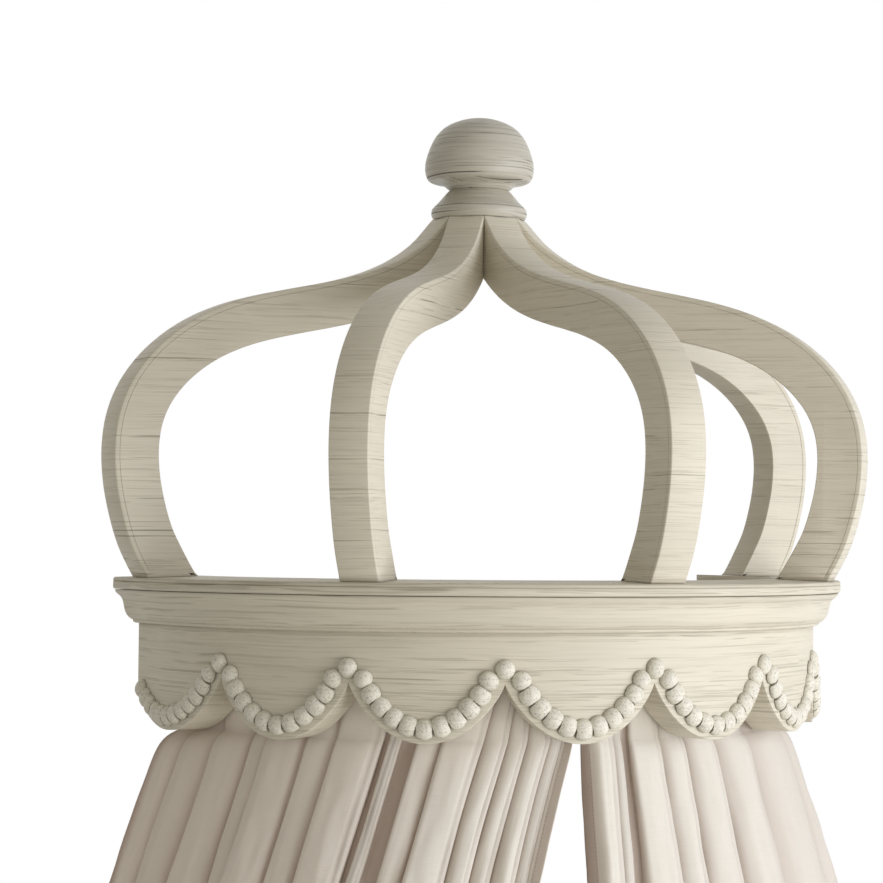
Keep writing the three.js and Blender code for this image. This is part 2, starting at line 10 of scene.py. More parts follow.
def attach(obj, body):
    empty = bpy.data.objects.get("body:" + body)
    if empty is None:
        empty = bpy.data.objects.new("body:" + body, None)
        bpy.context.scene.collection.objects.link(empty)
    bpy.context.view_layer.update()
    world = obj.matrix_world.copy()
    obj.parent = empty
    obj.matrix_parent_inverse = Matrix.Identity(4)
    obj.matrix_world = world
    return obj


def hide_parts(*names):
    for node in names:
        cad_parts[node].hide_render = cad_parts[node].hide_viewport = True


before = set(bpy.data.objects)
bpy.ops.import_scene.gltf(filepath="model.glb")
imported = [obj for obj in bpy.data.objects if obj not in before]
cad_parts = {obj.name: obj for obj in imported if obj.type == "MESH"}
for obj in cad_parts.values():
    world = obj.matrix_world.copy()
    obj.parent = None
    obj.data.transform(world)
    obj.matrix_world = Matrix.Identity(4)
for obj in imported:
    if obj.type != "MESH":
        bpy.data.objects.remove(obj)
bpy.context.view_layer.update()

# Sizes of the crown. Heights are above the ring's top, which is at RING_TOP in the frame.
RING_TOP = 0.054
AXIS_Y = -0.054
LIP = 0.355
FRIEZE = 0.329
FRIEZE_INNER = 0.293
FRIEZE_TOP = -0.01155
FRIEZE_DROP = 0.1385
NOTCH_DROP = 0.0865
QUARTER_RUN = FRIEZE * math.pi / 2
HALF_RUN = QUARTER_RUN - AXIS_Y
SCALLOP = HALF_RUN * 0.24089
END_SCALLOP = HALF_RUN * 0.3101
BOARD_RISE = 0.002
BOARD_NOSE = 0.3515
BEAD_RADIUS = 0.0087
BEAD_PITCH = 0.0139
BEAD_OFFSET = 0.0127
BEAD_NOTCH_OFFSET = 0.0017
SWAG_TOP = -0.0836
NOTCH_BEAD_HEIGHT = -0.0741
RIB_THICKNESS = 0.036
RIB_DEPTH = 0.043
RIB_REACH = 0.384
RIB_HEIGHT = 0.3506
RIB_ANGLES = (-90, -45, 0, 45, 90)
RIB_MITRE = 22.5
CURTAIN_DROP = 2.0
SIDE_HEM = 0.015
HEM = 0.06


# Modelling helpers

def deselect():
    if bpy.context.object and bpy.context.object.mode != "OBJECT":
        bpy.ops.object.mode_set(mode="OBJECT")
    bpy.ops.object.select_all(action="DESELECT")


def pick(obj):
    deselect()
    obj.select_set(True)
    bpy.context.view_layer.objects.active = obj


def edit(obj, mode="VERT"):
    pick(obj)
    bpy.ops.object.mode_set(mode="EDIT")
    bpy.ops.mesh.select_mode(type=mode)
    bpy.ops.mesh.select_all(action="SELECT")


def leave_edit():
    bpy.ops.object.mode_set(mode="OBJECT")


def select_where(obj, kind, test):
    """Selects those faces or edges of an object in edit mode that pass a test."""
    shape = bmesh.from_edit_mesh(obj.data)
    bpy.ops.mesh.select_mode(type=kind)
    bpy.ops.mesh.select_all(action="DESELECT")
    for item in shape.faces if kind == "FACE" else shape.edges:
        if test(item):
            item.select_set(True)
    shape.select_flush_mode()
    bmesh.update_edit_mesh(obj.data)


def new_shape(name, add_primitive, **options):
    """A new primitive, the only thing selected."""
    deselect()
    add_primitive(**options)
    obj = bpy.context.object
    obj.name = obj.data.name = name
    return obj


def outline(name, points):
    """A closed loop of edges through the points, started from a circle."""
    obj = new_shape(name, bpy.ops.mesh.primitive_circle_add, vertices=len(points), radius=0.1)
    for vertex, place in zip(obj.data.vertices, points):
        vertex.co = place
    return obj


def copied(obj):
    copy = obj.copy()
    copy.data = obj.data.copy()
    bpy.context.collection.objects.link(copy)
    return copy


def bisect(place, normal, **options):
    """Cuts the whole mesh in edit mode along a plane."""
    bpy.ops.mesh.select_all(action="SELECT")
    bpy.ops.mesh.bisect(plane_co=place, plane_no=normal, **options)


def tidy(obj, angle):
    """Merges doubles, points the faces outwards and smooths edges flatter than the angle."""
    edit(obj)
    bpy.ops.mesh.remove_doubles(threshold=0.00001)
    bpy.ops.mesh.normals_make_consistent(inside=False)
    leave_edit()
    pick(obj)
    bpy.ops.object.shade_smooth_by_angle(angle=math.radians(angle))
    return obj


def apply_modifier(obj, kind, **values):
    pick(obj)
    modifier = obj.modifiers.new(kind.title(), kind)
    for key, value in values.items():
        setattr(modifier, key, value)
    bpy.ops.object.modifier_apply(modifier=modifier.name)


def paint(obj, material):
    obj.data.materials.clear()
    obj.data.materials.append(material)


def finish_piece(obj, material, slot, *nodes):
    paint(obj, material)
    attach(obj, "root")
    if nodes:
        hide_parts(*nodes)
    return obj


def set_point_values(obj, name, values):
    layer = obj.data.attributes.new(name, "FLOAT", "POINT")
    layer.data.foreach_set("value", values)


def clamped(value, low=0, high=1):
    return max(low, min(high, value))


def plan_normal(run):
    turned = clamped(run, -QUARTER_RUN, QUARTER_RUN) / FRIEZE
    return Vector((math.sin(turned), -math.cos(turned), 0))


def plan_point(run, radius, height):
    """A place on the D-shaped plan: run along the frieze face from the front, height above the ring's top."""
    normal = plan_normal(run)
    past = max(abs(run) - QUARTER_RUN, 0)
    return Vector((normal.x * radius, normal.y * radius + AXIS_Y + past, height + RING_TOP))


def board_top(radius):
    """Height of the board's top, which falls slightly from its inner edge to its nose."""
    return BOARD_RISE * (BOARD_NOSE - radius) / (BOARD_NOSE - FRIEZE_INNER)


# Materials

class Wiring:
    """Adds nodes to a tree and joins them."""

    def __init__(self, tree):
        self.tree = tree
        self.column = 0

    def add(self, kind, inputs=None, **values):
        node = self.tree.nodes.new(kind)
        node.location = (self.column * 40, -(self.column % 7) * 160)
        self.column += 1
        for key, value in values.items():
            setattr(node, key, value)
        for key, value in (inputs or {}).items():
            if isinstance(value, bpy.types.NodeSocket):
                self.join(value, node.inputs[key])
            else:
                node.inputs[key].default_value = value
        return node

    def join(self, output, socket):
        self.tree.links.new(output, socket)

    def math(self, operation, a, b=None, clamp=False):
        inputs = {0: a} if b is None else {0: a, 1: b}
        return self.add("ShaderNodeMath", inputs, operation=operation, use_clamp=clamp).outputs[0]

    def times(self, a, b):
        return self.math("MULTIPLY", a, b)

    def plus(self, a, b, clamp=False):
        return self.math("ADD", a, b, clamp)

    def minus(self, a, b):
        return self.math("SUBTRACT", a, b)

    def vector(self, operation, a, b):
        return self.add("ShaderNodeVectorMath", {0: a, 1: b}, operation=operation).outputs[0]

    def scaled(self, place, scales):
        return self.vector("MULTIPLY", place, scales)

    def mapped(self, value, low, high, to_low=0.0, to_high=1.0):
        node = self.add(
            "ShaderNodeMapRange",
            {"Value": value, "From Min": low, "From Max": high, "To Min": to_low, "To Max": to_high},
            interpolation_type="SMOOTHSTEP",
        )
        return node.outputs[0]

    def noise(self, place, scales, detail, roughness=0.5):
        """Noise with a number of waves per metre along each axis."""
        node = self.add(
            "ShaderNodeTexNoise",
            {"Vector": self.scaled(place, scales), "Scale": 1.0, "Detail": detail, "Roughness": roughness},
        )
        return node.outputs["Fac"]

    def point_value(self, name):
        return self.add("ShaderNodeAttribute", attribute_name=name, attribute_type="GEOMETRY").outputs["Fac"]

    def bump(self, shader, height, strength, distance):
        node = self.add("ShaderNodeBump", {"Height": height, "Strength": strength, "Distance": distance})
        self.join(node.outputs[0], shader.inputs["Normal"])
        return node.outputs[0]

    def mix(self, factor, a, b):
        node = self.add("ShaderNodeMix", data_type="RGBA", clamp_factor=True)
        for key, value in (("Factor", factor), ("A", a), ("B", b)):
            socket = [s for s in node.inputs if s.name == key and s.enabled][0]
            if isinstance(value, bpy.types.NodeSocket):
                self.join(value, socket)
            else:
                socket.default_value = value
        return [s for s in node.outputs if s.enabled][0]


def new_group(name, amounts, results):
    """A node group that takes a coordinate and amounts, 0 unless set, and gives single values."""
    group = bpy.data.node_groups.new(name, "ShaderNodeTree")
    group.interface.new_socket("Coordinate", in_out="INPUT", socket_type="NodeSocketVector")
    for label in amounts:
        group.interface.new_socket(label, in_out="INPUT", socket_type="NodeSocketFloat")
    for label in results:
        group.interface.new_socket(label, in_out="OUTPUT", socket_type="NodeSocketFloat")
    wiring = Wiring(group)
    source = wiring.add("NodeGroupInput")
    target = wiring.add("NodeGroupOutput")
    return group, wiring, source.outputs, target.inputs


def brushed_glaze_group():
    """Level brush lines of a dark glaze over pale paint, on the sides and, turned, on the top faces."""
    group, w, given, out = new_group(
        "brushed glaze", ["Facing Up", "More Strokes"], ["Lines", "Strokes", "Patches"]
    )
    facing_up = given["Facing Up"]
    top_fineness = 0.6
    wobble_height = 0.006
    wobble = w.times(w.noise(given["Coordinate"], (7, 7, 9), 1), wobble_height)
    place = w.vector("ADD", given["Coordinate"], w.add("ShaderNodeCombineXYZ", {"Z": wobble}).outputs[0])

    def both_ways(run_scale, line_scale, detail, roughness=0.5):
        """Noise stretched along the run on upright faces, and from side to side on top faces."""
        upright = w.noise(place, (run_scale, run_scale, line_scale), detail, roughness)
        top = w.noise(place, (run_scale, line_scale * top_fineness, run_scale), detail, roughness)
        return w.plus(w.times(upright, w.minus(1.0, facing_up)), w.times(top, facing_up))

    def long_lines(line_scale, line_limits, dash_scales, dash_limits, more=0.0):
        """Level lines from a noise that hardly changes along the run, broken into dashes by another.

        Limits are the noise values, from 0 to 1, between which a line or dash comes in.
        """
        line = w.mapped(w.plus(both_ways(1.1, line_scale, 1), more), *line_limits)
        dash = w.mapped(both_ways(*dash_scales, 1), *dash_limits)
        return w.times(line, dash)

    patches = w.noise(place, (5, 5, 26), 2)
    held = w.mapped(patches, 0.36, 0.60, 0.55, 1.0)
    soft = w.mapped(both_ways(8, 360, 2, 0.6), 0.42, 0.72)
    fine = long_lines(600, (0.56, 0.66), (17, 330), (0.42, 0.54))
    middle = long_lines(340, (0.62, 0.68), (12, 200), (0.46, 0.56))
    strong = long_lines(230, (0.685, 0.715), (9, 120), (0.42, 0.54), given["More Strokes"])
    soft_share = 0.35
    crisp_share = 0.65
    lines = w.plus(w.times(soft, soft_share), w.times(w.math("MAXIMUM", fine, middle), crisp_share))
    w.join(w.times(lines, held), out["Lines"])
    w.join(strong, out["Strokes"])
    w.join(patches, out["Patches"])
    return group


def speckle_group():
    """Small dark pits and pale rubbed spots, as on antiqued beads."""
    group, w, given, out = new_group("rubbed speckle", [], ["Pits", "Rubbed"])
    place = given["Coordinate"]
    pits = w.mapped(w.noise(place, (560, 560, 560), 3, 0.7), 0.50, 0.66)
    rubbed = w.mapped(w.noise(place, (230, 230, 230), 2), 0.45, 0.62)
    w.join(pits, out["Pits"])
    w.join(rubbed, out["Rubbed"])
    return group


BRUSHED = brushed_glaze_group()
SPECKLE = speckle_group()


def new_material(name):
    material = bpy.data.materials.new(name)
    material.use_nodes = True
    material.node_tree.nodes.clear()
    w = Wiring(material.node_tree)
    shader = w.add("ShaderNodeBsdfPrincipled")
    output = w.add("ShaderNodeOutputMaterial")
    w.join(shader.outputs[0], output.inputs["Surface"])
    return material, w, shader


def shaded(colour, share):
    return tuple(share * channel for channel in colour[:3]) + (1,)


def painted_wood(
    name, base, glaze, line_share, stroke_share, glaze_and_shade_share, smoothest,
    speckle_share=0.0, fineness=1.0, more_strokes=0.0,
):
    """Pale paint under a dark glaze and painted shade. The shares say how strongly each kind of mark shows.
    """
    glaze_roughness = 0.22
    pit_depth = 1.5
    material, w, shader = new_material(name)
    place = w.add("ShaderNodeTexCoord")
    normal = w.add("ShaderNodeSeparateXYZ", {0: place.outputs["Normal"]}).outputs["Z"]
    facing_up = w.mapped(w.math("ABSOLUTE", normal), 0.80, 0.93)
    brushed = w.add("ShaderNodeGroup", node_tree=BRUSHED)
    w.join(w.scaled(place.outputs["Object"], (fineness,) * 3), brushed.inputs["Coordinate"])
    w.join(facing_up, brushed.inputs["Facing Up"])
    brushed.inputs["More Strokes"].default_value = more_strokes
    speckle = w.add("ShaderNodeGroup", node_tree=SPECKLE)
    w.join(place.outputs["Object"], speckle.inputs["Coordinate"])
    # The glaze attribute holds glaze in lines and grooves, and painted shade under overhangs, at feet and
    # where parts meet
    glaze_and_shade = w.point_value("glaze")
    worn = w.point_value("worn")
    lines = w.times(brushed.outputs["Lines"], line_share)
    strokes = w.times(brushed.outputs["Strokes"], stroke_share)
    pits = w.times(speckle.outputs["Pits"], speckle_share)
    dark = w.plus(w.plus(lines, strokes), w.plus(pits, w.times(glaze_and_shade, glaze_and_shade_share)), clamp=True)
    patched = w.mix(brushed.outputs["Patches"], shaded(base, 0.90), shaded(base, 1.08))
    worn_share = w.times(w.times(worn, speckle.outputs["Rubbed"]), 0.5)
    rubbed = w.mix(worn_share, patched, RUBBED_PAINT)
    w.join(w.mix(dark, rubbed, glaze), shader.inputs["Base Color"])
    w.join(w.mapped(dark, 0, 1, smoothest, smoothest + glaze_roughness), shader.inputs["Roughness"])
    height = w.minus(1.0, w.plus(brushed.outputs["Lines"], w.times(pits, pit_depth)))
    w.bump(shader, height, strength=0.35, distance=0.0005)
    shader.inputs["Specular IOR Level"].default_value = 0.35
    return material


RUBBED_PAINT = (0.83, 0.80, 0.72, 1)
CREAM = (0.700, 0.648, 0.528, 1)
GLAZE = (0.235, 0.205, 0.145, 1)
cream_paint = painted_wood(
    "cream brushed paint", CREAM, GLAZE,
    line_share=0.50, stroke_share=0.44, glaze_and_shade_share=0.50, smoothest=0.50, fineness=1.35,
)
rib_paint = painted_wood(
    "cream rib paint", CREAM, GLAZE,
    line_share=0.46, stroke_share=0.56, glaze_and_shade_share=0.55, smoothest=0.50, fineness=1.7,
)
# The finial's paint is a darker copy of the cream paint: the darker base is painted shade for the dimmer
# light on the finial
shaded_turned_paint = painted_wood(
    "shaded cream turned paint", (0.55, 0.515, 0.43, 1), (0.12, 0.11, 0.085, 1),
    line_share=0.80, stroke_share=0.95, glaze_and_shade_share=0.28, smoothest=0.38, fineness=1.45, more_strokes=0.045,
)
bead_paint = painted_wood(
    "speckled bead paint", (0.79, 0.75, 0.64, 1), (0.16, 0.14, 0.10, 1),
    line_share=0.15, stroke_share=0.10, glaze_and_shade_share=0.90, smoothest=0.55, speckle_share=0.40,
)


def bare_wood_material():
    material, w, shader = new_material("turned beech")
    place = w.add("ShaderNodeTexCoord").outputs["Object"]
    grain = w.noise(place, (420, 420, 14), 3, 0.6)
    flecks = w.mapped(w.noise(place, (900, 900, 90), 2), 0.58, 0.68)
    colour = w.mix(w.mapped(grain, 0.3, 0.7), (0.42, 0.27, 0.13, 1), (0.56, 0.39, 0.21, 1))
    colour = w.mix(w.times(flecks, 0.5), colour, (0.27, 0.15, 0.07, 1))
    w.join(colour, shader.inputs["Base Color"])
    w.join(w.mapped(grain, 0.2, 0.8, 0.55, 0.72), shader.inputs["Roughness"])
    w.bump(shader, grain, strength=0.3, distance=0.0003)
    return material


bare_wood = bare_wood_material()


def weave_group():
    """Plain linen weave on a UV map in metres: slubby threads both ways."""
    group, w, given, out = new_group("linen weave", [], ["Threads", "Slubs", "Height"])

    def both_threads(across, along, detail, roughness=0.5):
        scales = ((across, along, 1), (along, across, 1))
        return [w.noise(given["Coordinate"], each, detail, roughness) for each in scales]

    threads = w.times(w.plus(*both_threads(900, 45, 3, 0.6)), 0.5)
    slubs = w.math("MAXIMUM", *(w.mapped(each, 0.60, 0.72) for each in both_threads(500, 18, 2)))
    w.join(threads, out["Threads"])
    w.join(slubs, out["Slubs"])
    w.join(w.plus(threads, w.times(slubs, 0.35)), out["Height"])
    return group


WEAVE = weave_group()


SEAM_FROM_EDGE = 0.0015
STITCH = 0.0035
SOFT_EDGE = 0.0004
LINEN_SLUB = (0.84, 0.78, 0.71, 1)
LINEN_HIGHLIGHT = (0.93, 0.905, 0.86, 1)
LINEN_GLOW = (0.86, 0.74, 0.64, 1)
SEWING_THREAD = (0.27, 0.19, 0.14, 1)


def hem_marks(w, place):
    """Shares of the doubled cloth and of the stitches, from places on the flat sheet."""
    apart = w.add("ShaderNodeSeparateXYZ", {0: place}).outputs
    across, down = apart["X"], apart["Y"]
    low_hem_edge = CURTAIN_DROP - HEM
    side_hem = w.mapped(across, SIDE_HEM - SOFT_EDGE, SIDE_HEM + SOFT_EDGE, 1, 0)
    low_hem = w.mapped(down, low_hem_edge - SOFT_EDGE, low_hem_edge + SOFT_EDGE, 0, 1)
    from_side = w.math("ABSOLUTE", w.minus(across, SIDE_HEM - SEAM_FROM_EDGE))
    from_low = w.math("ABSOLUTE", w.minus(down, low_hem_edge + SEAM_FROM_EDGE))
    row = w.mapped(w.math("MINIMUM", from_side, from_low), 0.0002, 0.0006, 1, 0)
    along = w.plus(w.times(down, side_hem), w.times(across, w.minus(1.0, side_hem)))
    stitches = w.mapped(w.math("SINE", w.times(along, 2 * math.pi / STITCH)), -0.6, 0.2, 0.3, 1.0)
    return w.math("MAXIMUM", side_hem, low_hem), w.times(row, stitches)


def linen_material(name, ridge, shade_and_hem_colour, hemmed):
    """Woven cloth with painted shade, darker in the valleys of its folds, and a painted highlight on lapping
    edges; paler on the ridges and lit through.
    """
    material, w, shader = new_material(name)
    place = w.add("ShaderNodeUVMap", uv_map="cloth").outputs["UV"]
    weave = w.add("ShaderNodeGroup", node_tree=WEAVE)
    w.join(place, weave.inputs["Coordinate"])
    threads = w.mapped(weave.outputs["Threads"], 0.35, 0.65)
    # Painted shade from the fold value, and a painted highlight along lapping edges
    tint = w.mix(w.point_value("fold"), ridge, shade_and_hem_colour)
    tint = w.mix(w.times(threads, 0.20), tint, shaded(ridge, 0.74))
    tint = w.mix(w.times(weave.outputs["Slubs"], 0.14), tint, LINEN_SLUB)
    tint = w.mix(w.times(w.point_value("rim_highlight"), 0.35), tint, LINEN_HIGHLIGHT)
    height = weave.outputs["Height"]
    if hemmed:
        doubled, sewn = hem_marks(w, place)
        tint = w.mix(w.times(doubled, 0.25), tint, shade_and_hem_colour)
        tint = w.mix(w.times(sewn, 0.55), tint, SEWING_THREAD)
        height = w.minus(height, w.times(sewn, 1.5))
    w.join(tint, shader.inputs["Base Color"])
    w.join(w.mapped(threads, 0, 1, 0.86, 0.97), shader.inputs["Roughness"])
    bumped = w.bump(shader, height, strength=0.3, distance=0.0004)
    shader.inputs["Specular IOR Level"].default_value = 0.15
    shader.inputs["Sheen Weight"].default_value = 0.15
    shader.inputs["Sheen Roughness"].default_value = 0.5
    lit_through = w.mix(0.5, tint, LINEN_GLOW)
    glow = w.add("ShaderNodeBsdfTranslucent", {"Color": lit_through, "Normal": bumped})
    both = w.add("ShaderNodeMixShader", {0: 0.40, 1: shader.outputs[0], 2: glow.outputs[0]})
    output = [node for node in material.node_tree.nodes if node.type == "OUTPUT_MATERIAL"][0]
    w.join(both.outputs[0], output.inputs["Surface"])
    return material


linen = linen_material("blush linen", (0.92, 0.905, 0.85, 1), (0.38, 0.25, 0.19, 1), hemmed=True)
tape_cotton = linen_material("cotton tape", (0.78, 0.74, 0.66, 1), (0.66, 0.60, 0.52, 1), hemmed=False)


# Ring: top board and cornice

def swept_ring(name, profile, glaze_and_shade_shares, node):
    """A moulding run round the D plan: its section is pulled from the wall, spun round the front and
    pulled back to the wall."""
    wall_steps = 3
    front_steps = 150
    obj = outline(name, [Vector((-radius, 0, height + RING_TOP)) for radius, height in profile])
    edit(obj, "EDGE")
    for _ in range(wall_steps):
        bpy.ops.mesh.extrude_edges_move(TRANSFORM_OT_translate={"value": (0, AXIS_Y / wall_steps, 0)})
    bpy.ops.mesh.spin(steps=front_steps, angle=math.pi, center=(0, AXIS_Y, 0), axis=(0, 0, -1))
    for _ in range(wall_steps):
        bpy.ops.mesh.extrude_edges_move(TRANSFORM_OT_translate={"value": (0, -AXIS_Y / wall_steps, 0)})
    bpy.ops.mesh.select_all(action="SELECT")
    bpy.ops.mesh.fill_holes(sides=0)
    leave_edit()
    tidy(obj, 32)
    marks = []
    for vertex in obj.data.vertices:
        radius = math.hypot(vertex.co.x, min(vertex.co.y - AXIS_Y, 0))
        if vertex.co.y > AXIS_Y:
            radius = abs(vertex.co.x)
        here = (radius, vertex.co.z - RING_TOP)
        nearest = min(range(len(profile)), key=lambda i: math.dist(profile[i], here))
        marks.append(glaze_and_shade_shares[nearest])
    set_point_values(obj, "glaze", marks)
    return finish_piece(obj, cream_paint, "cream_paint", node)


def arc(centre_radius, centre_height, size, first, last, steps):
    """Points of a rounding in a section, from one angle to another in degrees."""
    turns = [math.radians(first + (last - first) * i / steps) for i in range(steps + 1)]
    return [(centre_radius + size * math.cos(t), centre_height + size * math.sin(t)) for t in turns]


NOSE_TOP = 0.0026
NOSE_FOOT = 0.0020
NOSE_FOOT_HEIGHT = -0.0091
BOARD_UNDERSIDE = -0.0113
# A section is a closed loop of (radius, height), and each of its points has a share of dark glaze and painted
# shade
board_profile = (
    [(FRIEZE_INNER, BOARD_RISE), (0.345, board_top(0.345))]
    + arc(LIP - NOSE_TOP, -NOSE_TOP, NOSE_TOP, 85, 0, 5)
    + [(LIP, -0.0032), (LIP - 0.0005, -0.0036), (LIP - 0.0005, -0.0039), (LIP, -0.0043)]
    + [(LIP + 0.0001, -0.0075), (LIP, NOSE_FOOT_HEIGHT)]
    + arc(LIP - NOSE_FOOT, NOSE_FOOT_HEIGHT, NOSE_FOOT, -20, -90, 4)
    + [(FRIEZE + 0.004, BOARD_UNDERSIDE), (FRIEZE_INNER, BOARD_UNDERSIDE)]
)
# Painted shade on the nose's rounded top and under the nose, glaze in the lip's groove
board_glaze_and_shade = (
    [0.0, 0.1] + [0.25, 0.32, 0.30, 0.26, 0.26, 0.32] + [0.5, 1.0, 1.0, 0.4] + [0.0, 0.05]
    + [0.1, 0.2, 0.5, 0.9, 1.0] + [0.9, 0.3]
)
swept_ring("crown_top_board", board_profile, board_glaze_and_shade, "top_board")

COVE_TOP = -0.0116
CORNICE_FOOT = -0.0430
CORNICE_BACK = FRIEZE + 0.0003
cornice_profile = [
    (0.3530, COVE_TOP), (0.3530, -0.0125), (0.3524, -0.0140), (0.3508, -0.0156), (0.3487, -0.0172),
    (0.3468, -0.0191), (0.3455, -0.0215), (0.3447, -0.0245), (0.3441, -0.0275), (0.3434, -0.0305),
    (0.3424, -0.0331), (0.3410, -0.0355), (0.3391, -0.0376), (0.3370, -0.0391), (0.3354, -0.0397),
    (0.3350, -0.0401), (0.3349, -0.0413), (0.3345, -0.0420), (0.3332, -0.0425), (0.3316, CORNICE_FOOT),
    (CORNICE_BACK, CORNICE_FOOT), (CORNICE_BACK, COVE_TOP),
]
# Painted shade at the cove's top under the board and at the cornice's foot; the quirk is darker too
cornice_glaze_and_shade = [1.0, 0.4, 0.1, 0.05] + [0.0] * 9 + [0.15, 0.55, 0.3, 0.0, 0.0, 0.1, 0.5, 1.0, 0.5]
swept_ring("crown_cornice", cornice_profile, cornice_glaze_and_shade, "cornice_moulding")


# Scalloped frieze

scallops = [((i + 0.5) * SCALLOP, SCALLOP / 2) for i in range(-3, 3)]
end_centre = 3 * SCALLOP + END_SCALLOP / 2
scallops = [(-end_centre, END_SCALLOP / 2)] + scallops + [(end_centre, END_SCALLOP / 2)]


def scallop_edge(scallop, run):
    """Height of one scallop's edge: a flattened round from notch to notch."""
    roundness = 0.8
    centre, half = scallop
    across = clamped((run - centre) / half, -1, 1)
    return -NOTCH_DROP - (FRIEZE_DROP - NOTCH_DROP) * (1 - across * across) ** roundness


def frieze_edge(run):
    return min(scallop_edge(scallop, run) for scallop in scallops)


def frieze_runs():
    """Stations along the frieze, closer together beside each notch."""
    per_scallop = 40
    closest = 0.0003
    runs = [-HALF_RUN, HALF_RUN]
    for centre, half in scallops:
        runs += [centre - half * math.cos(math.pi * i / per_scallop) for i in range(per_scallop + 1)]
    kept = []
    for run in sorted(runs):
        if abs(run) <= HALF_RUN and (not kept or run - kept[-1] > closest):
            kept.append(run)
    return kept


CORNICE_SHADOW = -0.0475
SHADOW_FADE = 0.0035
# Level rows down to below the cornice, then rows at shares of the way on to the scalloped edge
LEVEL_ROWS = (FRIEZE_TOP, -0.029, -0.0427, -0.0447, CORNICE_SHADOW, -0.056)
EDGE_SHARES = (0.25, 0.5, 0.7, 0.84, 0.94, 1)
ARRIS = 0.0022
ARRIS_LINE = 0.0036


def frieze_board():
    """The frieze is modelled flat, with its face at y = 0, and then bent round the plan."""
    runs = frieze_runs()
    rows = LEVEL_ROWS + EDGE_SHARES
    squares = {"x_subdivisions": len(runs) - 1, "y_subdivisions": len(rows) - 1}
    obj = new_shape("crown_frieze", bpy.ops.mesh.primitive_grid_add, size=1, **squares)
    ordered = sorted(obj.data.vertices, key=lambda v: (round(v.co.y, 5), v.co.x))
    for number, vertex in enumerate(ordered):
        row_from_below, column = divmod(number, len(runs))
        row = len(rows) - 1 - row_from_below
        height = rows[row]
        if row >= len(LEVEL_ROWS):
            height = LEVEL_ROWS[-1] + (frieze_edge(runs[column]) - LEVEL_ROWS[-1]) * rows[row]
        vertex.co = (runs[column], 0, height)
    edit(obj, "FACE")
    for thickness in (ARRIS_LINE, FRIEZE - FRIEZE_INNER - ARRIS_LINE):
        bpy.ops.mesh.extrude_region_move(TRANSFORM_OT_translate={"value": (0, thickness, 0)})
    bpy.ops.mesh.select_all(action="SELECT")
    bpy.ops.mesh.normals_make_consistent(inside=False)

    def lower_arris(edge):
        first, second = (v.co for v in edge.verts)
        level_edge = abs(first.y - second.y) < 1e-6 and abs(first.y - ARRIS_LINE) > 1e-4
        return level_edge and all(place.z < frieze_edge(place.x) + 0.00002 for place in (first, second))

    select_where(obj, "EDGE", lower_arris)
    bpy.ops.mesh.bevel(offset=ARRIS, segments=3, profile=0.5, clamp_overlap=True)
    leave_edit()
    # Paint is worn off the arris and glaze lies in the line behind it; the band under the cornice is darkened
    # as painted shadow
    glaze, worn = [], []
    for vertex in obj.data.vertices:
        run, inward, height = vertex.co
        above = height - frieze_edge(run)
        painted_cornice_shadow = 0.5 * clamped((height - CORNICE_SHADOW) / SHADOW_FADE)
        beside_arris = 0.75 if 0.0018 < inward < 0.0030 and above < 0.001 else 0
        glaze.append(max(painted_cornice_shadow, beside_arris))
        worn.append(1 if 0.0002 < inward < 0.0018 and above < 0.0024 else 0)
        vertex.co = plan_point(run, FRIEZE - inward, height)
    set_point_values(obj, "glaze", glaze)
    set_point_values(obj, "worn", worn)
    tidy(obj, 34)
    return finish_piece(obj, cream_paint, "cream_paint", "frieze_board")


frieze_board()


# Beads

def wave(seed):
    """A fixed value from -1 to 1 for each seed."""
    return math.sin(seed * 12.9898 + math.sin(seed * 4.1414) * 7.7)


BEAD_SUNK = 0.0004
BEAD_FOOT = 0.0007
BEAD_JOINT = 0.00045
BEAD_GAP = 0.00005
PEAK_BEAD = (1.02, 1.04, 0.90)
END_BEAD = (1.0, 1.05, 0.90)
INNER_BEAD = (1.16, 1.08, 0.90)
CARVING_SCALE = 260
CARVING_DEPTH = 0.00030


def model_bead(size, half_pitch=None):
    """A carved half bead on the plane z = 0; inner beads of a string are cut where they meet the next one."""
    ball = {"segments": 24, "ring_count": 16, "radius": BEAD_RADIUS}
    obj = new_shape("bead_model", bpy.ops.mesh.primitive_uv_sphere_add, **ball)
    edit(obj)
    bpy.ops.transform.resize(value=size)
    bpy.ops.transform.translate(value=(0, 0, -BEAD_SUNK))
    bisect((0, 0, 0), (0, 0, 1), clear_inner=True, use_fill=True)
    bisect((0, 0, BEAD_FOOT), (0, 0, 1))
    if half_pitch:
        for side in (-1, 1):
            bisect((side * half_pitch, 0, 0), (side, 0, 0), clear_outer=True, use_fill=True)
            bisect((side * (half_pitch - BEAD_JOINT), 0, 0), (side, 0, 0))
    leave_edit()
    return obj


def bead_matrix(run, height, slope, seed):
    """Stands a bead on the frieze's face, a little uneven in width, height and lean."""
    seat = 0.0002
    normal = plan_normal(run)
    up = Vector((0, 0, 1))
    side = up.cross(normal)
    turn = Matrix((side, up, normal)).transposed().to_4x4()
    stretch = Matrix.Diagonal((1, 1 + 0.045 * wave(seed), 1 + 0.05 * wave(seed + 13), 1))
    lean = Matrix.Rotation(slope, 4, "Z") @ Matrix.Rotation(0.06 * wave(seed + 31), 4, "X")
    return Matrix.Translation(plan_point(run, FRIEZE + seat, height)) @ turn @ lean @ stretch


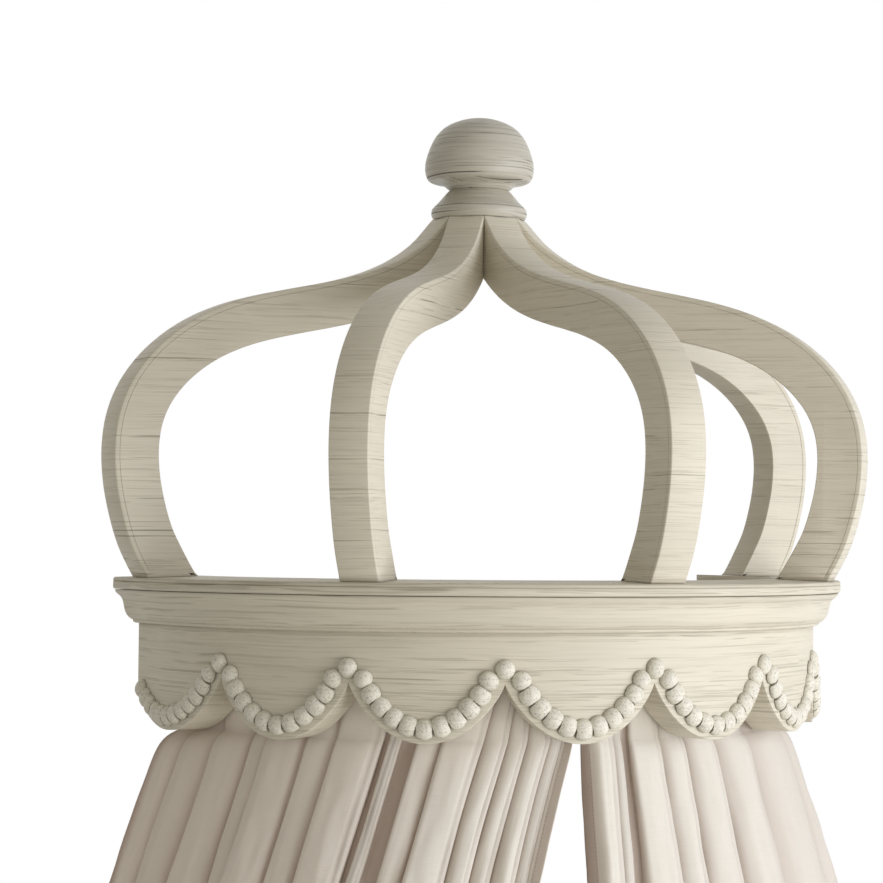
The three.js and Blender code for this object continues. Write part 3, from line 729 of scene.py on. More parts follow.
def carve_bead(bead, cut, seed):
    """Roughens a bead, and marks glaze and painted shade in its foot and joints, painted shade growing
    towards its foot, and the rubbed paint on its crown.
    """
    glaze, worn = [], []
    for vertex in bead.data.vertices:
        low = 1 - vertex.co.z / (BEAD_RADIUS * END_BEAD[2])
        foot = 1 if vertex.co.z < BEAD_FOOT / 2 else 0
        joint = 0.8 if cut and abs(vertex.co.x) > cut + 0.0001 else 0
        # The foot and joints are darkened with glaze and painted shade, and painted shade grows towards the
        # foot
        glaze.append(max(foot, joint, 0.35 * clamped((low - 0.6) / 0.35)))
        worn.append(clamped((0.5 - low) / 0.4))
        bump = noise.noise(vertex.co * CARVING_SCALE + Vector((seed, 0, 0)))
        if vertex.co.z > BEAD_FOOT and not joint:
            vertex.co += vertex.co.normalized() * CARVING_DEPTH * bump
    set_point_values(bead, "glaze", glaze)
    set_point_values(bead, "worn", worn)


def bead_string(name, places, seed, *nodes):
    """Beads along places of (run, height), each turned to the line through its neighbours."""
    single = len(places) == 1
    pitch = 0 if single else min(math.dist(a, b) for a, b in zip(places, places[1:]))
    end_bead = model_bead(PEAK_BEAD if single else END_BEAD)
    inner_bead = end_bead if single else model_bead(INNER_BEAD, pitch / 2 - BEAD_GAP)
    beads = []
    for number, (run, height) in enumerate(places):
        inner = 0 < number < len(places) - 1
        bead = copied(inner_bead if inner else end_bead)
        carve_bead(bead, pitch / 2 - BEAD_JOINT if inner else None, seed * 3.7 + number * 1.3)
        before = places[max(number - 1, 0)]
        after = places[min(number + 1, len(places) - 1)]
        slope = 0 if single else math.atan2(after[1] - before[1], after[0] - before[0])
        bead.data.transform(bead_matrix(run, height, slope, seed + number))
        beads.append(bead)
    for model in {end_bead, inner_bead}:
        bpy.data.objects.remove(model)
    pick(beads[0])
    for bead in beads:
        bead.select_set(True)
    if not single:
        bpy.ops.object.join()
    obj = beads[0]
    obj.name = obj.data.name = name
    bpy.ops.object.shade_smooth_by_angle(angle=math.radians(50))
    return finish_piece(obj, bead_paint, "bead_paint", *nodes)


def swag_places(scallop):
    """Bead centres on a line a set distance inside the scallop's edge."""
    centre, half = scallop
    line = []
    fine = 400
    for i in range(1, fine):
        run = centre - half * math.cos(math.pi * i / fine)
        step = half / fine
        slope = (scallop_edge(scallop, run + step) - scallop_edge(scallop, run - step)) / (2 * step)
        length = math.hypot(1, slope)
        offset = BEAD_OFFSET + BEAD_NOTCH_OFFSET * abs(slope) / length
        line.append((run - slope / length * offset, scallop_edge(scallop, run) + offset / length))
    line = [(run, height) for run, height in line if height < SWAG_TOP and abs(run - centre) < half]
    lengths = [0]
    for before, after in zip(line, line[1:]):
        lengths.append(lengths[-1] + math.dist(before, after))
    count = round(lengths[-1] / BEAD_PITCH) + 1
    places = []
    for i in range(count):
        wanted = lengths[-1] * i / (count - 1)
        j = next((k for k in range(1, len(lengths)) if lengths[k] >= wanted), len(lengths) - 1)
        share = (wanted - lengths[j - 1]) / (lengths[j] - lengths[j - 1])
        places.append(tuple(a + (b - a) * share for a, b in zip(line[j - 1], line[j])))
    return [place for place in places if abs(place[0]) < HALF_RUN - BEAD_RADIUS]


for index, scallop in enumerate(scallops):
    bead_string(f"bead_string_{index + 1}", swag_places(scallop), 20 * index, f"bead_swag_{index + 1}")
for index in range(7):
    notch = (index - 3) * SCALLOP
    bead_string(
        f"notch_bead_{index + 1}", [(notch, NOTCH_BEAD_HEIGHT)], 300 + index, f"peak_bead_{index + 1}"
    )


# Ribs

# The rib's outer curve from the foot to the tip, as shares of its reach and its height
RIB_CURVE = [
    (0.9497, 0.08), (0.9755, 0.1667), (0.9918, 0.2567), (0.9955, 0.3466), (0.9837, 0.4328),
    (0.9538, 0.5121), (0.9071, 0.5824), (0.8472, 0.6425), (0.7779, 0.6912), (0.7026, 0.7277),
    (0.6237, 0.7544), (0.5428, 0.7752), (0.4617, 0.7941), (0.3821, 0.8152), (0.3057, 0.8423),
    (0.2342, 0.8795), (0.1692, 0.9307), (0.1127, 1),
]
RIB_FOOT = 0.350
RIB_TOE = 0.0014
RIB_TIP = 0.0123
RIB_TIP_CUT = 0.0124
RIB_GAP = 0.0003
RIB_ARRIS_FOOT = 0.0025
FLARE_FOOT = 0.0024
RIB_ARRIS = 0.0016
LINE_FROM_EDGE = 0.0028
LINE_HALF = 0.0004
MITRE_GAP = 0.00015


def through(points, steps):
    """A smooth curve through the points, each span in equal steps."""
    padded = [points[0]] + points + [points[-1]]
    curve = []
    for i in range(len(points) - 1):
        a, b, c, d = padded[i:i + 4]
        for k in range(steps):
            t = k / steps
            squared = (2 * a - 5 * b + 4 * c - d) * t * t
            cubed = (3 * b - a - 3 * c + d) * t ** 3
            curve.append(0.5 * ((2 * b) + (c - a) * t + squared + cubed))
    return curve + [points[-1]]


def evenly(points, count):
    """Points at equal distances along a curve."""
    lengths = [0]
    for before, after in zip(points, points[1:]):
        lengths.append(lengths[-1] + (after - before).length)
    result, j = [], 1
    for i in range(count + 1):
        wanted = lengths[-1] * i / count
        while j < len(lengths) - 1 and lengths[j] < wanted:
            j += 1
        share = (wanted - lengths[j - 1]) / (lengths[j] - lengths[j - 1])
        result.append(points[j - 1].lerp(points[j], share))
    return result


def outer_line():
    """The rib's outer curve in even steps, from its foot on the board to its tip."""
    foot = Vector((RIB_FOOT, board_top(RIB_FOOT)))
    points = [foot] + [Vector((RIB_REACH * out, RIB_HEIGHT * up)) for out, up in RIB_CURVE]
    return evenly(through(points, 12), 84)


def rib_outline():
    """A rib's outline: up its outer curve, over its tip and down its inner curve to a toe on the board."""
    outer = outer_line()
    inner = []
    for i, point in enumerate(outer):
        along = (outer[min(i + 1, len(outer) - 1)] - outer[max(i - 1, 0)]).normalized()
        inner.append(Vector((point.x - along.y * RIB_DEPTH, point.y + along.x * RIB_DEPTH)))
    start, second = inner[0], inner[1]
    slope = (second.x - start.x) / (second.y - start.y)
    flare = []
    for up in (0.25, 0.5, 0.75):
        reach = start.x - slope * start.y * (1 - up) - RIB_TOE * (1 - up) ** 2
        flare.append(Vector((reach, start.y * up)))
    toe = start.x - start.y * slope - RIB_TOE
    kept = [p for p in flare + inner if p.x > RIB_TIP_CUT and p.y > board_top(p.x) + FLARE_FOOT]
    outer[0].y += RIB_GAP
    top = RIB_HEIGHT - RIB_GAP
    outer[-1].y = top
    tip = [Vector((RIB_TIP, top)), Vector((RIB_TIP, kept[-1].y))]
    return outer + tip + kept[::-1] + [Vector((toe, board_top(toe) + RIB_GAP))]


def model_rib():
    """A sawn rib lying along +X with its thickness across Y: eased arrises and a scribed line inside them."""
    half = RIB_THICKNESS / 2
    outer_edge_zone, foot_zone = 0.0062, 0.004
    obj = outline("rib_model", [Vector((p.x, half, p.y + RING_TOP)) for p in rib_outline()])
    edit(obj)
    bpy.ops.mesh.edge_face_add()
    bpy.ops.mesh.extrude_region_move(TRANSFORM_OT_translate={"value": (0, -RIB_THICKNESS, 0)})
    bpy.ops.mesh.select_all(action="SELECT")
    bpy.ops.mesh.normals_make_consistent(inside=False)

    def side_arris(edge):
        first, second = (v.co for v in edge.verts)
        above_foot = first.z + second.z > 2 * (RING_TOP + RIB_ARRIS_FOOT)
        return above_foot and abs(first.y - second.y) < 1e-6

    select_where(obj, "EDGE", side_arris)
    bpy.ops.mesh.bevel(offset=RIB_ARRIS, segments=3, profile=0.5, clamp_overlap=True)
    select_where(obj, "FACE", lambda f: abs(f.normal.y) > 0.99 and len(f.verts) > 60)
    bpy.ops.mesh.inset(thickness=LINE_FROM_EDGE, use_even_offset=True)
    for depth in (-LINE_HALF, LINE_HALF):
        bpy.ops.mesh.inset(thickness=LINE_HALF, depth=depth, use_even_offset=True)
    leave_edit()
    # The scribed line is filled in beside the foot and the inner curve
    line = outer_line()
    for vertex in obj.data.vertices:
        here = Vector((vertex.co.x, vertex.co.z - RING_TOP))
        on_line = 0.00001 < half - abs(vertex.co.y) < 0.0007
        inside = min((here - point).length for point in line) > outer_edge_zone
        if on_line and (inside or here.y < foot_zone):
            vertex.co.y = math.copysign(half, vertex.co.y)
    return obj


rib_model = model_rib()


def rib(index, angle):
    """One rib in its place, mitred on each side where it has a neighbour."""
    obj = copied(rib_model)
    obj.name = obj.data.name = f"crown_rib_{index + 1}"
    mitre = math.radians(RIB_MITRE)
    edit(obj)
    for side, wall_rib in ((1, RIB_ANGLES[-1]), (-1, RIB_ANGLES[0])):
        if angle != wall_rib:
            normal = Vector((-math.sin(mitre), side * math.cos(mitre), 0))
            bisect(-normal * MITRE_GAP, normal, use_fill=True, clear_outer=True)
    leave_edit()
    tidy(obj, 28)
    glaze = []
    for vertex in obj.data.vertices:
        # Glaze fills the scribed line; the darkening at the foot, against the board, is painted shade
        scribed = 0.00025 < RIB_THICKNESS / 2 - abs(vertex.co.y) < 0.0007
        shaded_foot = vertex.co.z < RING_TOP + 0.0022 and vertex.co.x > 0.2
        glaze.append(0.8 if scribed or shaded_foot else 0)
    set_point_values(obj, "glaze", glaze)
    turn = Matrix.Rotation(math.radians(angle - 90), 4, "Z")
    obj.data.transform(Matrix.Translation((0, AXIS_Y, 0)) @ turn)
    return finish_piece(obj, rib_paint, "cream_paint", f"rib_{index + 1}")


for index, angle in enumerate(RIB_ANGLES):
    rib(index, angle)
bpy.data.objects.remove(rib_model)


# Turned finial

def turned(name, profile, glaze_and_shade_rows, node):
    """A turned piece: its profile, from axis to axis, is spun round the finial's axis.

    Dark rows of glaze and painted shade are (height, half width, least radius).
    """
    foot = RING_TOP + RIB_HEIGHT
    obj = outline(name, [Vector((radius, AXIS_Y, height + foot)) for radius, height in profile])
    edit(obj, "EDGE")
    closing = {len(profile) - 1, 0}
    select_where(obj, "EDGE", lambda e: {v.index for v in e.verts} == closing)
    bpy.ops.mesh.delete(type="EDGE")
    bpy.ops.mesh.select_all(action="SELECT")
    bpy.ops.mesh.spin(steps=96, angle=2 * math.pi, center=(0, AXIS_Y, 0), axis=(0, 0, 1))
    leave_edit()
    tidy(obj, 32)
    marks = []
    for vertex in obj.data.vertices:
        height = vertex.co.z - foot
        radius = math.hypot(vertex.co.x, vertex.co.y - AXIS_Y)
        shares = [1 - abs(height - at) / width for at, width, least in glaze_and_shade_rows if radius >= least]
        marks.append(max([0] + shares))
    set_point_values(obj, "glaze", marks)
    return finish_piece(obj, shaded_turned_paint, "cream_paint", node)


def smooth_profile(points):
    """Points of (radius, height) with smooth curves between them."""
    return [(p.x, p.y) for p in through([Vector(p) for p in points], 4)]


COLLAR_HEIGHT = 0.0291
KNOB_FOOT = COLLAR_HEIGHT + 0.0003
collar_roll = smooth_profile([
    (0.0444, 0.0), (0.0463, 0.0029), (0.0470, 0.0058), (0.0468, 0.0087), (0.0460, 0.0109), (0.0446, 0.0116),
])
collar_cone = smooth_profile([
    (0.0447, 0.0120), (0.0441, 0.0131), (0.0424, 0.0147), (0.0394, 0.0178), (0.0356, 0.0224),
    (0.0314, 0.0271), (0.0289, COLLAR_HEIGHT),
])
# The collar's rows darken its groove and its foot as painted shade
turned(
    "finial_base", [(0, 0)] + collar_roll + collar_cone + [(0, COLLAR_HEIGHT)],
    [(0.0118, 0.0008, 0), (0.0, 0.0014, 0)], "finial_collar",
)
knob_curve = smooth_profile([
    (0.0289, 0.0), (0.0312, 0.0016), (0.0362, 0.0056), (0.0426, 0.0072), (0.0474, 0.0082),
    (0.0503, 0.0100), (0.0522, 0.0136), (0.0532, 0.0176), (0.0535, 0.0215), (0.0532, 0.0262),
    (0.0523, 0.0306), (0.0508, 0.0360), (0.0482, 0.0430), (0.0436, 0.0520), (0.0368, 0.0598),
    (0.0290, 0.0650), (0.0188, 0.0690), (0.0092, 0.0711), (0.0, 0.0720),
])
# The knob's row is a glaze line
turned(
    "finial_ball", [(0, KNOB_FOOT)] + [(radius, height + KNOB_FOOT) for radius, height in knob_curve],
    [(KNOB_FOOT + 0.0130, 0.0008, 0.05)], "finial_knob",
)


# Curtains

WALL_GAP = 0.028
WALL_RUN = QUARTER_RUN - AXIS_Y - WALL_GAP
TAPE_GAP = 0.0003
TAPE_THICKNESS = 0.002
CURTAIN_HEAD = 0.045
CLOTH = 0.0009
HEAD_FOLD = 0.0045
RING_FOLD = 0.006
CLOTH_PLAY = 0.0008
HALF_SHEET = 0.001
HIGHEST_FOLD = 1.24
# The cloth's middle line at its head leaves room for the tape and for the highest fold
TAPE_FACE = FRIEZE_INNER - TAPE_GAP - TAPE_THICKNESS
CLOTH_RADIUS = TAPE_FACE - CLOTH_PLAY - HALF_SHEET - HEAD_FOLD * HIGHEST_FOLD
SWELL_LENGTH = 0.59


def spread(height, length):
    """Share of a slow change that begins at the frieze's edge."""
    return 0 if height >= -FRIEZE_DROP else 1 - math.exp((height + FRIEZE_DROP) / length)


def fold_depth(height):
    if height > -FRIEZE_DROP:
        return HEAD_FOLD + 0.0015 * (-CURTAIN_HEAD - height) / (FRIEZE_DROP - CURTAIN_HEAD)
    return RING_FOLD + 0.0035 * spread(height, 0.006) + 0.0145 * spread(height, SWELL_LENGTH)


# Lines where one fold laps over the next: place along the run from the leading edge, depth of the
# crease there, and whose edge laps: -1 the fold before the line, 1 the fold after it
LEFT_LAPS = (
    (0.0215, 0.4, 1), (0.047, 0.6, 1), (0.0965, 0.75, 1), (0.1385, 1.0, 1), (0.19, 0.75, 1),
    (0.2705, 0.8, -1), (0.3235, 1.0, -1), (0.3645, 1.0, 1), (0.387, 0.6, -1), (0.4045, 0.6, 1),
    (0.502, 1.0, -1), (0.574, 0.7, -1), (0.6755, 1.0, -1), (0.7225, 0.5, -1), (0.828, 0.9, -1),
    (0.925, 0.4, -1),
)
RIGHT_LAPS = (
    (0.053, 0.7, -1), (0.0700, 0.5, -1), (0.0885, 0.6, 1), (0.1475, 0.8, -1), (0.2015, 0.7, -1),
    (0.276, 1.0, -1), (0.3805, 1.0, -1), (0.585, 1.0, -1), (0.68, 0.8, -1), (0.77, 1.0, -1),
    (0.86, 0.7, -1), (0.94, 0.8, -1),
)
LAP = 0.0016
# How each sheet springs out of the ring and begins to swell: -1 is the left one, 1 the right one
SPRING_POWER = {-1: 6, 1: 2}
SPRING_LENGTH = {-1: 0.006, 1: 0.008}
SLOW_START = {-1: (0.05, 6), 1: (0.035, 4)}
FAN_LENGTH = 0.39
FOLD_STEPS = 28
USUAL_DEPTH = 0.0095


def lapping_end(crest, crease):
    """From the crease up round an edge that hangs over the neighbour; the fold itself runs towards +x."""
    rise = crest + crease
    over = LAP * min(1, rise / 1.6)
    return [
        (0, -crease), (-0.6 * over, 0.25 * rise - crease), (-over, 0.6 * rise - crease),
        (-0.4 * over, 0.92 * rise - crease), (0.0016, crest), (0.0052, crest - 0.02),
    ]


def sunk_end(width, crest, crease):
    """From the crease up a soft slope that starts under the neighbour's edge."""
    rise = crest + crease
    slope = ((0.10, 0.50), (0.26, 0.80))
    foot = [(0, -crease), (0.0012, 0.16 * rise - crease)]
    return foot + [(share * width, up * rise - crease) for share, up in slope]


def fold_section(width, first, last, lit):
    """Section of one fold. Each end is (crease depth, whether it laps), or (height, None) at a free edge.

    lit is the end turned to the window (0 or 1): a lapping edge there rolls over, so its crest is broader.
    """
    laps = [own for _, own in (first, last)]
    crest = clamped(width / 0.046, 0.25, 1.05)
    if laps == [False, False]:
        crest = -0.35 - 0.35 * min(1, width / 0.020)
    ends = []
    for number, (value, own) in enumerate((first, last)):
        edge = 0.62 * crest if number == lit else crest
        if own is None:
            ends.append([(0, value)])
        else:
            ends.append(lapping_end(edge, value) if own else sunk_end(width, crest, value))
    lit_laps, dull_laps = laps[lit], laps[1 - lit]
    middle = [(0.5, 1)]
    if lit_laps and dull_laps:
        middle = [(0.3, 0.97), (0.52, 1.0), (0.78, 0.86)]
    elif lit_laps:
        middle = [(0.42, 0.86), (0.60, 1.0), (0.80, 0.86)]
    elif dull_laps:
        middle = [(0.28, 0.97), (0.5, 0.84)]
    if lit == 0:
        middle = [(1 - x, h) for x, h in middle[::-1]]
    points = ends[0] + [(x * width, h * crest) for x, h in middle]
    points += [(width - x, h) for x, h in ends[1][::-1]]
    curve = evenly(through([Vector((x, h * USUAL_DEPTH)) for x, h in points], 6), FOLD_STEPS)
    return crest, [(point.x / width, point.y / USUAL_DEPTH) for point in curve]


def crease_depths(laps, bounds, length):
    """Depth of the crease at each lap line, less where the two folds beside it are narrow."""
    full_width = 0.080
    depths = []
    for (_, depth, _), start, end in zip(laps, bounds, bounds[2:]):
        depths.append(depth * clamped((end - start) * length / full_width, 0.40, 1))
    return depths


def fold_columns(laps, length, lead_height, lit):
    """Columns of the whole sheet: (across, height when crisp, across, height when soft, painted shade,
    painted highlight).
    """
    trail_height = 0.4
    highlight_middle, highlight_width, crease_shade_width = 0.0006, 0.0016, 0.0028
    columns = []
    bounds = [0] + [lap[0] for lap in laps] + [1]
    creases = crease_depths(laps, bounds, length)
    for i, (start, end) in enumerate(zip(bounds, bounds[1:])):
        first = (lead_height, None) if i == 0 else (creases[i - 1], laps[i - 1][2] == 1)
        last = (trail_height, None) if i == len(laps) else (creases[i], laps[i][2] == -1)
        width = (end - start) * length
        crest, section = fold_section(width, first, last, lit)
        lows = [value if own is None else -value for value, own in (first, last)]
        for j, (x, height) in enumerate(section):
            if i > 0 and j == 0:
                continue
            t = j / FOLD_STEPS
            floor = lows[0] + (lows[1] - lows[0]) * t
            soft = floor + (max(crest, 0.2) - floor) * math.sin(math.pi * t) ** 0.8
            # Painted shade along the sunk creases and a painted highlight along the lapping edges
            rim_highlights, crease_shades = [0], [0]
            for away, (value, own) in ((x * width, first), ((1 - x) * width, last)):
                if own and height > 0.45 * crest:
                    rim_highlights.append(1 - abs(away - highlight_middle) / highlight_width)
                if own is False:
                    crease_shades.append(value * math.exp(-max(0, away) / crease_shade_width))
            low = lows[0 if t < 0.5 else 1]
            # Painted shade grows towards the crease a fold falls to, and fills narrow recesses
            deep = clamped((0.85 * crest - height) / max(0.1, 0.85 * crest - low))
            shade = min(1, (0.45 if crest < 0 else 0.55 * deep) + 0.4 * max(crease_shades))
            crisp_x, soft_x = start + (end - start) * x, start + (end - start) * t
            columns.append((crisp_x, height, soft_x, soft, shade, max(rim_highlights)))
    return columns


def eased(drop, length):
    """A drop that starts slowly: level at first, then a fixed length behind."""
    return drop * drop / (drop + length) if drop > 0 else 0


def cloth_base(across, height, top_edge, hem_edge, spring, side):
    """Place of the cloth's middle line. The folds fan out along the ring from the head down, and the
    sheet swells outwards below the ring to an oval hem."""
    hem_wide, hem_deep, hem_past = 0.55, 0.368, 0.026
    overrun = 0.08
    drop = -FRIEZE_DROP - height
    run = math.radians(top_edge) * FRIEZE * (1 - across) + side * WALL_RUN * across
    stretched = across * (1 + overrun)
    turn = math.radians(hem_edge) * (1 - min(stretched, 1)) + side * math.pi / 2 * min(stretched, 1)
    past = max(stretched - 1, 0) / overrun * hem_past
    wide, deep = hem_wide * math.sin(turn), hem_deep * math.cos(turn)
    hem_run = math.atan2(wide, deep) * FRIEZE + side * past
    fan = 1 - math.exp(-drop / FAN_LENGTH)
    if drop < 0:
        near_lead = min(1, across / 0.25)
        fan *= near_lead ** 2 * (3 - 2 * near_lead)
    slow, power = SLOW_START[side]
    swell = 1 - math.exp(-eased(drop, slow * (1 - across ** power)) / SWELL_LENGTH)
    sprung = spring * (0.1 + 1.4 * across ** SPRING_POWER[side]) * spread(height, SPRING_LENGTH[side])
    top_radius = CLOTH_RADIUS + sprung
    radius = top_radius + (math.hypot(wide, deep) - top_radius) * swell
    return plan_point(run + (hem_run - run) * fan, radius, height)


def cloth_heights():
    """Heights of the sheet's rows, closer together below the frieze's edge and at the hem's seam."""
    first_step, last_step = 0.0015, 0.048
    full = CURTAIN_DROP - FRIEZE_DROP
    heights = [-CURTAIN_HEAD - (FRIEZE_DROP - CURTAIN_HEAD) * i / 8 for i in range(9)]
    below = 0
    while below < full - 1e-6:
        below = min(below + first_step + last_step * min(1, below / 0.5), full)
        heights.append(-FRIEZE_DROP - below)
    heights += [HEM - CURTAIN_DROP + shift for shift in (-SEAM_FROM_EDGE, 0, SEAM_FROM_EDGE)]
    return sorted(set(round(h, 6) for h in heights), reverse=True)


def unevenness(across, height, seed):
    """How far a fold strays along the ring, as a share of the sheet, and out, as a share of its depth.

    Some of it is tied to near_head, which hardly changes far down, so that the folds run straight there.
    """
    drop = max(0, -height - FRIEZE_DROP)
    near_head = 0.3 * (1 - math.exp(-drop / 0.3))

    def uneven(x, y, z):
        return noise.noise(Vector((x, y, z)))

    sway = 0.005 * math.sin(13 * across + seed) * spread(height, 0.9)
    sway += 0.002 * math.sin(5 * drop + 30 * across + seed) * spread(height, 0.3)
    sway += 0.006 * uneven(across * 12, seed, near_head * 9) * spread(height, 0.08)
    ripple = 0.16 * uneven(across * 26, seed * 5.1, drop * 3.5)
    ripple += 0.10 * uneven(across * 60, seed, drop * 9)
    ripple += 0.16 * uneven(across * 75, seed * 3.1, near_head * 42) * spread(height, 0.03)
    ripple += 0.30 * uneven(across * 30 + near_head * 18, seed * 2.3, near_head * 15) * spread(height, 0.04)
    return sway, ripple * min(1, 0.35 + drop / 0.3)


def cloth_row(columns, height, top_edge, hem_edge, spring, side, seed):
    """Points of one level row of the sheet, and the way out at each of them."""
    softness = 0.8 * spread(height, 0.7)
    depth = fold_depth(height)
    edge_calm = 0.06
    row, outs = [], []

    def base(place):
        return cloth_base(clamped(place), height, top_edge, hem_edge, spring, side)

    for crisp_x, crisp_h, soft_x, soft_h, _, _ in columns:
        across = crisp_x + (soft_x - crisp_x) * softness
        rise = crisp_h + (soft_h - crisp_h) * softness
        sway, ripple = unevenness(soft_x, height, seed)
        place = across + sway * min(1, abs(across) / edge_calm) * min(1, abs(1 - across) / edge_calm)
        along = (base(place + 0.003) - base(place - 0.003)).normalized()
        out = Vector((along.y, -along.x, 0)) * side
        row.append(base(place) + out * depth * (rise + ripple))
        outs.append(out)
    return row, outs


def curtain(name, laps, top_edge, hem_edge, spring, side, lead_height, seed, node):
    """A gathered sheet: crisp lapped folds under the ring that open into soft waves at the hem."""
    cloth_to_face = 0.9
    length = cloth_to_face * abs(math.radians(top_edge) * FRIEZE - side * WALL_RUN)
    columns = fold_columns(laps, length, lead_height, 0 if side < 0 else 1)
    count = len(columns)
    heights = cloth_heights()
    rows = [cloth_row(columns, height, top_edge, hem_edge, spring, side, seed) for height in heights]
    middle = rows[len(rows) // 2][0]
    widths = [0]
    for before, after in zip(middle, middle[1:]):
        widths.append(widths[-1] + (after - before).length)
    # The doubled hems stand a little proud of the sheet
    hem_step = 0.0006
    vertices = []
    for (row, outs), height in zip(rows, heights):
        for width, point, out in zip(widths, row, outs):
            doubled = width < SIDE_HEM or height < HEM - CURTAIN_DROP
            vertices.append(point + out * hem_step if doubled else point)
    faces = []
    for j in range(len(rows) - 1):
        for i in range(count - 1):
            a = j * count + i
            quad = (a, a + count, a + count + 1, a + 1)
            faces.append(quad if side > 0 else quad[::-1])
    mesh = bpy.data.meshes.new(name)
    mesh.from_pydata(vertices, [], faces)
    uv = mesh.uv_layers.new(name="cloth")
    places = [(width, -height) for height in heights for width in widths]
    for loop in mesh.loops:
        uv.data[loop.index].uv = places[loop.vertex_index]
    obj = bpy.data.objects.new(name, mesh)
    bpy.context.collection.objects.link(obj)
    # Painted shade also makes the cloth a little darker towards the wall
    wall_shade = 0.18
    folds = [min(1, shade + wall_shade * across) for across, _, _, _, shade, _ in columns]
    set_point_values(obj, "fold", folds * len(heights))
    set_point_values(obj, "rim_highlight", [column[-1] for column in columns] * len(heights))
    apply_modifier(obj, "SOLIDIFY", thickness=CLOTH, offset=0)
    pick(obj)
    bpy.ops.object.shade_smooth()
    return finish_piece(obj, linen, "linen", node)


LEFT_EDGE = -11.2
RIGHT_EDGE = -8.8
curtain_left = curtain(
    "linen_curtain_left", LEFT_LAPS, top_edge=LEFT_EDGE, hem_edge=-26.5, spring=0.018, side=-1,
    lead_height=0.9, seed=1.0, node="curtain_left",
)
curtain_right = curtain(
    "linen_curtain_right", RIGHT_LAPS, top_edge=RIGHT_EDGE, hem_edge=-4.3, spring=0.021, side=1,
    lead_height=-0.9, seed=4.0, node="curtain_right",
)


# Tapes that the curtain heads press on

TAPE_TOP = -0.042
TAPE_FOOT = -0.072


def tape(name, start, end, node):
    """A flat tape bent round the inside of the frieze, extruded step by step."""
    steps = 60
    runs = [start + (end - start) * i / steps for i in range(steps + 1)]
    outer = FRIEZE_INNER - TAPE_GAP
    inner = outer - TAPE_THICKNESS
    section = [(outer, TAPE_TOP), (outer, TAPE_FOOT), (inner, TAPE_FOOT), (inner, TAPE_TOP)]
    obj = outline(name, [plan_point(runs[0], radius, height) for radius, height in section])
    edit(obj)
    bpy.ops.mesh.edge_face_add()
    for run in runs[1:]:
        bpy.ops.mesh.extrude_region_move()
        shape = bmesh.from_edit_mesh(obj.data)
        end_corners = sorted((v for v in shape.verts if v.select), key=lambda v: v.index)
        for vertex, (radius, height) in zip(end_corners, section):
            vertex.co = plan_point(run, radius, height)
        bmesh.update_edit_mesh(obj.data)
    leave_edit()
    tidy(obj, 40)
    uv = obj.data.uv_layers.new(name="cloth")
    for loop in obj.data.loops:
        place = obj.data.vertices[loop.vertex_index].co
        turn = math.atan2(place.x, -(place.y - AXIS_Y))
        uv.data[loop.index].uv = (turn * FRIEZE_INNER, place.z)
    return finish_piece(obj, tape_cotton, "hook_tape", node)


tape("head_tape_left", math.radians(LEFT_EDGE) * FRIEZE, -WALL_RUN, "hook_tape_left")
tape("head_tape_right", math.radians(RIGHT_EDGE) * FRIEZE, WALL_RUN, "hook_tape_right")


# Pieces kept from the frame

for name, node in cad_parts.items():
    if name.startswith("rib_dowel") or name in ("hub_core", "finial_pin"):
        paint(node, bare_wood)
    elif name == "back_rail":
        paint(node, cream_paint)


# Floor, light and camera

def plain_floor():
    hem_clearance = 0.012
    disc = {"vertices": 96, "radius": 3.2, "fill_type": "NGON", "location": (0, -0.3, 0)}
    obj = new_shape("studio_floor", bpy.ops.mesh.primitive_circle_add, **disc)
    bpy.ops.object.transform_apply(location=True, rotation=True, scale=True)
    for vertex in obj.data.vertices:
        vertex.co.z = RING_TOP - CURTAIN_DROP - hem_clearance
    material, _, shader = new_material("pale studio floor")
    shader.inputs["Base Color"].default_value = (0.82, 0.82, 0.80, 1)
    shader.inputs["Roughness"].default_value = 0.9
    obj.data.materials.append(material)


plain_floor()


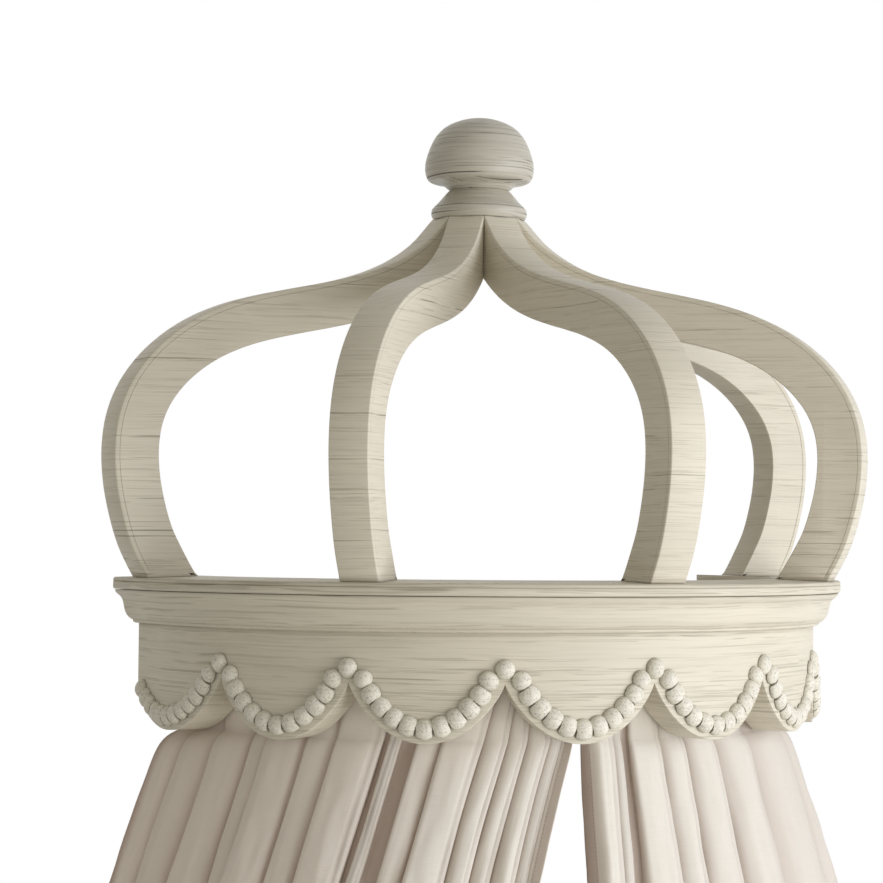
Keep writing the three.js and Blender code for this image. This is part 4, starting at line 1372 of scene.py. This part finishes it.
def pale_world():
    """A soft warm light from all round. The camera, and what mirrors or is clear, sees plain white."""
    world = bpy.data.worlds.new("pale studio")
    bpy.context.scene.world = world
    world.use_nodes = True
    world.node_tree.nodes.clear()
    w = Wiring(world.node_tree)
    light = w.add("ShaderNodeBackground", {"Color": (1.0, 0.965, 0.88, 1), "Strength": 0.40})
    seen = w.add("ShaderNodeBackground", {"Color": (1, 1, 1, 1), "Strength": 1.0})
    path = w.add("ShaderNodeLightPath")
    straight = w.math("MAXIMUM", path.outputs["Is Camera Ray"], path.outputs["Is Glossy Ray"])
    straight = w.math("MAXIMUM", straight, path.outputs["Is Transmission Ray"])
    mixed = w.add("ShaderNodeMixShader", {0: straight, 1: light.outputs[0], 2: seen.outputs[0]})
    out = w.add("ShaderNodeOutputWorld")
    w.join(mixed.outputs[0], out.inputs["Surface"])


pale_world()


def soft_lamp(name, place, aim, size, power, colour):
    data = bpy.data.lights.new(name, "AREA")
    data.shape = "RECTANGLE"
    data.size, data.size_y = size
    data.energy = power
    data.color = colour
    obj = bpy.data.objects.new(name, data)
    bpy.context.collection.objects.link(obj)
    obj.location = place
    obj.rotation_euler = (Vector(aim) - Vector(place)).to_track_quat("-Z", "Y").to_euler()


soft_lamp(
    "window light", place=(2.40, -2.70, 0.4), aim=(0, -0.25, -0.05), size=(1.8, 2.0), power=51,
    colour=(0.96, 1.005, 1.15),
)
soft_lamp(
    "front fill", place=(0.85, -3.2, -0.65), aim=(0, -0.25, -0.1), size=(1.8, 1.6), power=44,
    colour=(1.0, 1.0, 0.99),
)

CAMERA_PLACE = (-1.261, -2.3812, 0.0922)
CAMERA_TURN = -0.5199
CAMERA_TILT = 0.0361
CAMERA_ROLL = 0.0077
camera_data = bpy.data.cameras.new("photo camera")
camera = bpy.data.objects.new("photo camera", camera_data)
bpy.context.collection.objects.link(camera)
camera.matrix_world = (
    Matrix.Translation(CAMERA_PLACE)
    @ Matrix.Rotation(CAMERA_TURN, 4, "Z")
    @ Matrix.Rotation(math.pi / 2 + CAMERA_TILT, 4, "X")
    @ Matrix.Rotation(CAMERA_ROLL, 4, "Z")
)
camera_data.sensor_width = 36
camera_data.lens = 109.98
camera_data.shift_x = -0.11155
camera_data.clip_start = 0.05
camera_data.clip_end = 50
bpy.context.scene.camera = camera
bpy.context.scene.view_settings.view_transform = "Standard"

deselect()
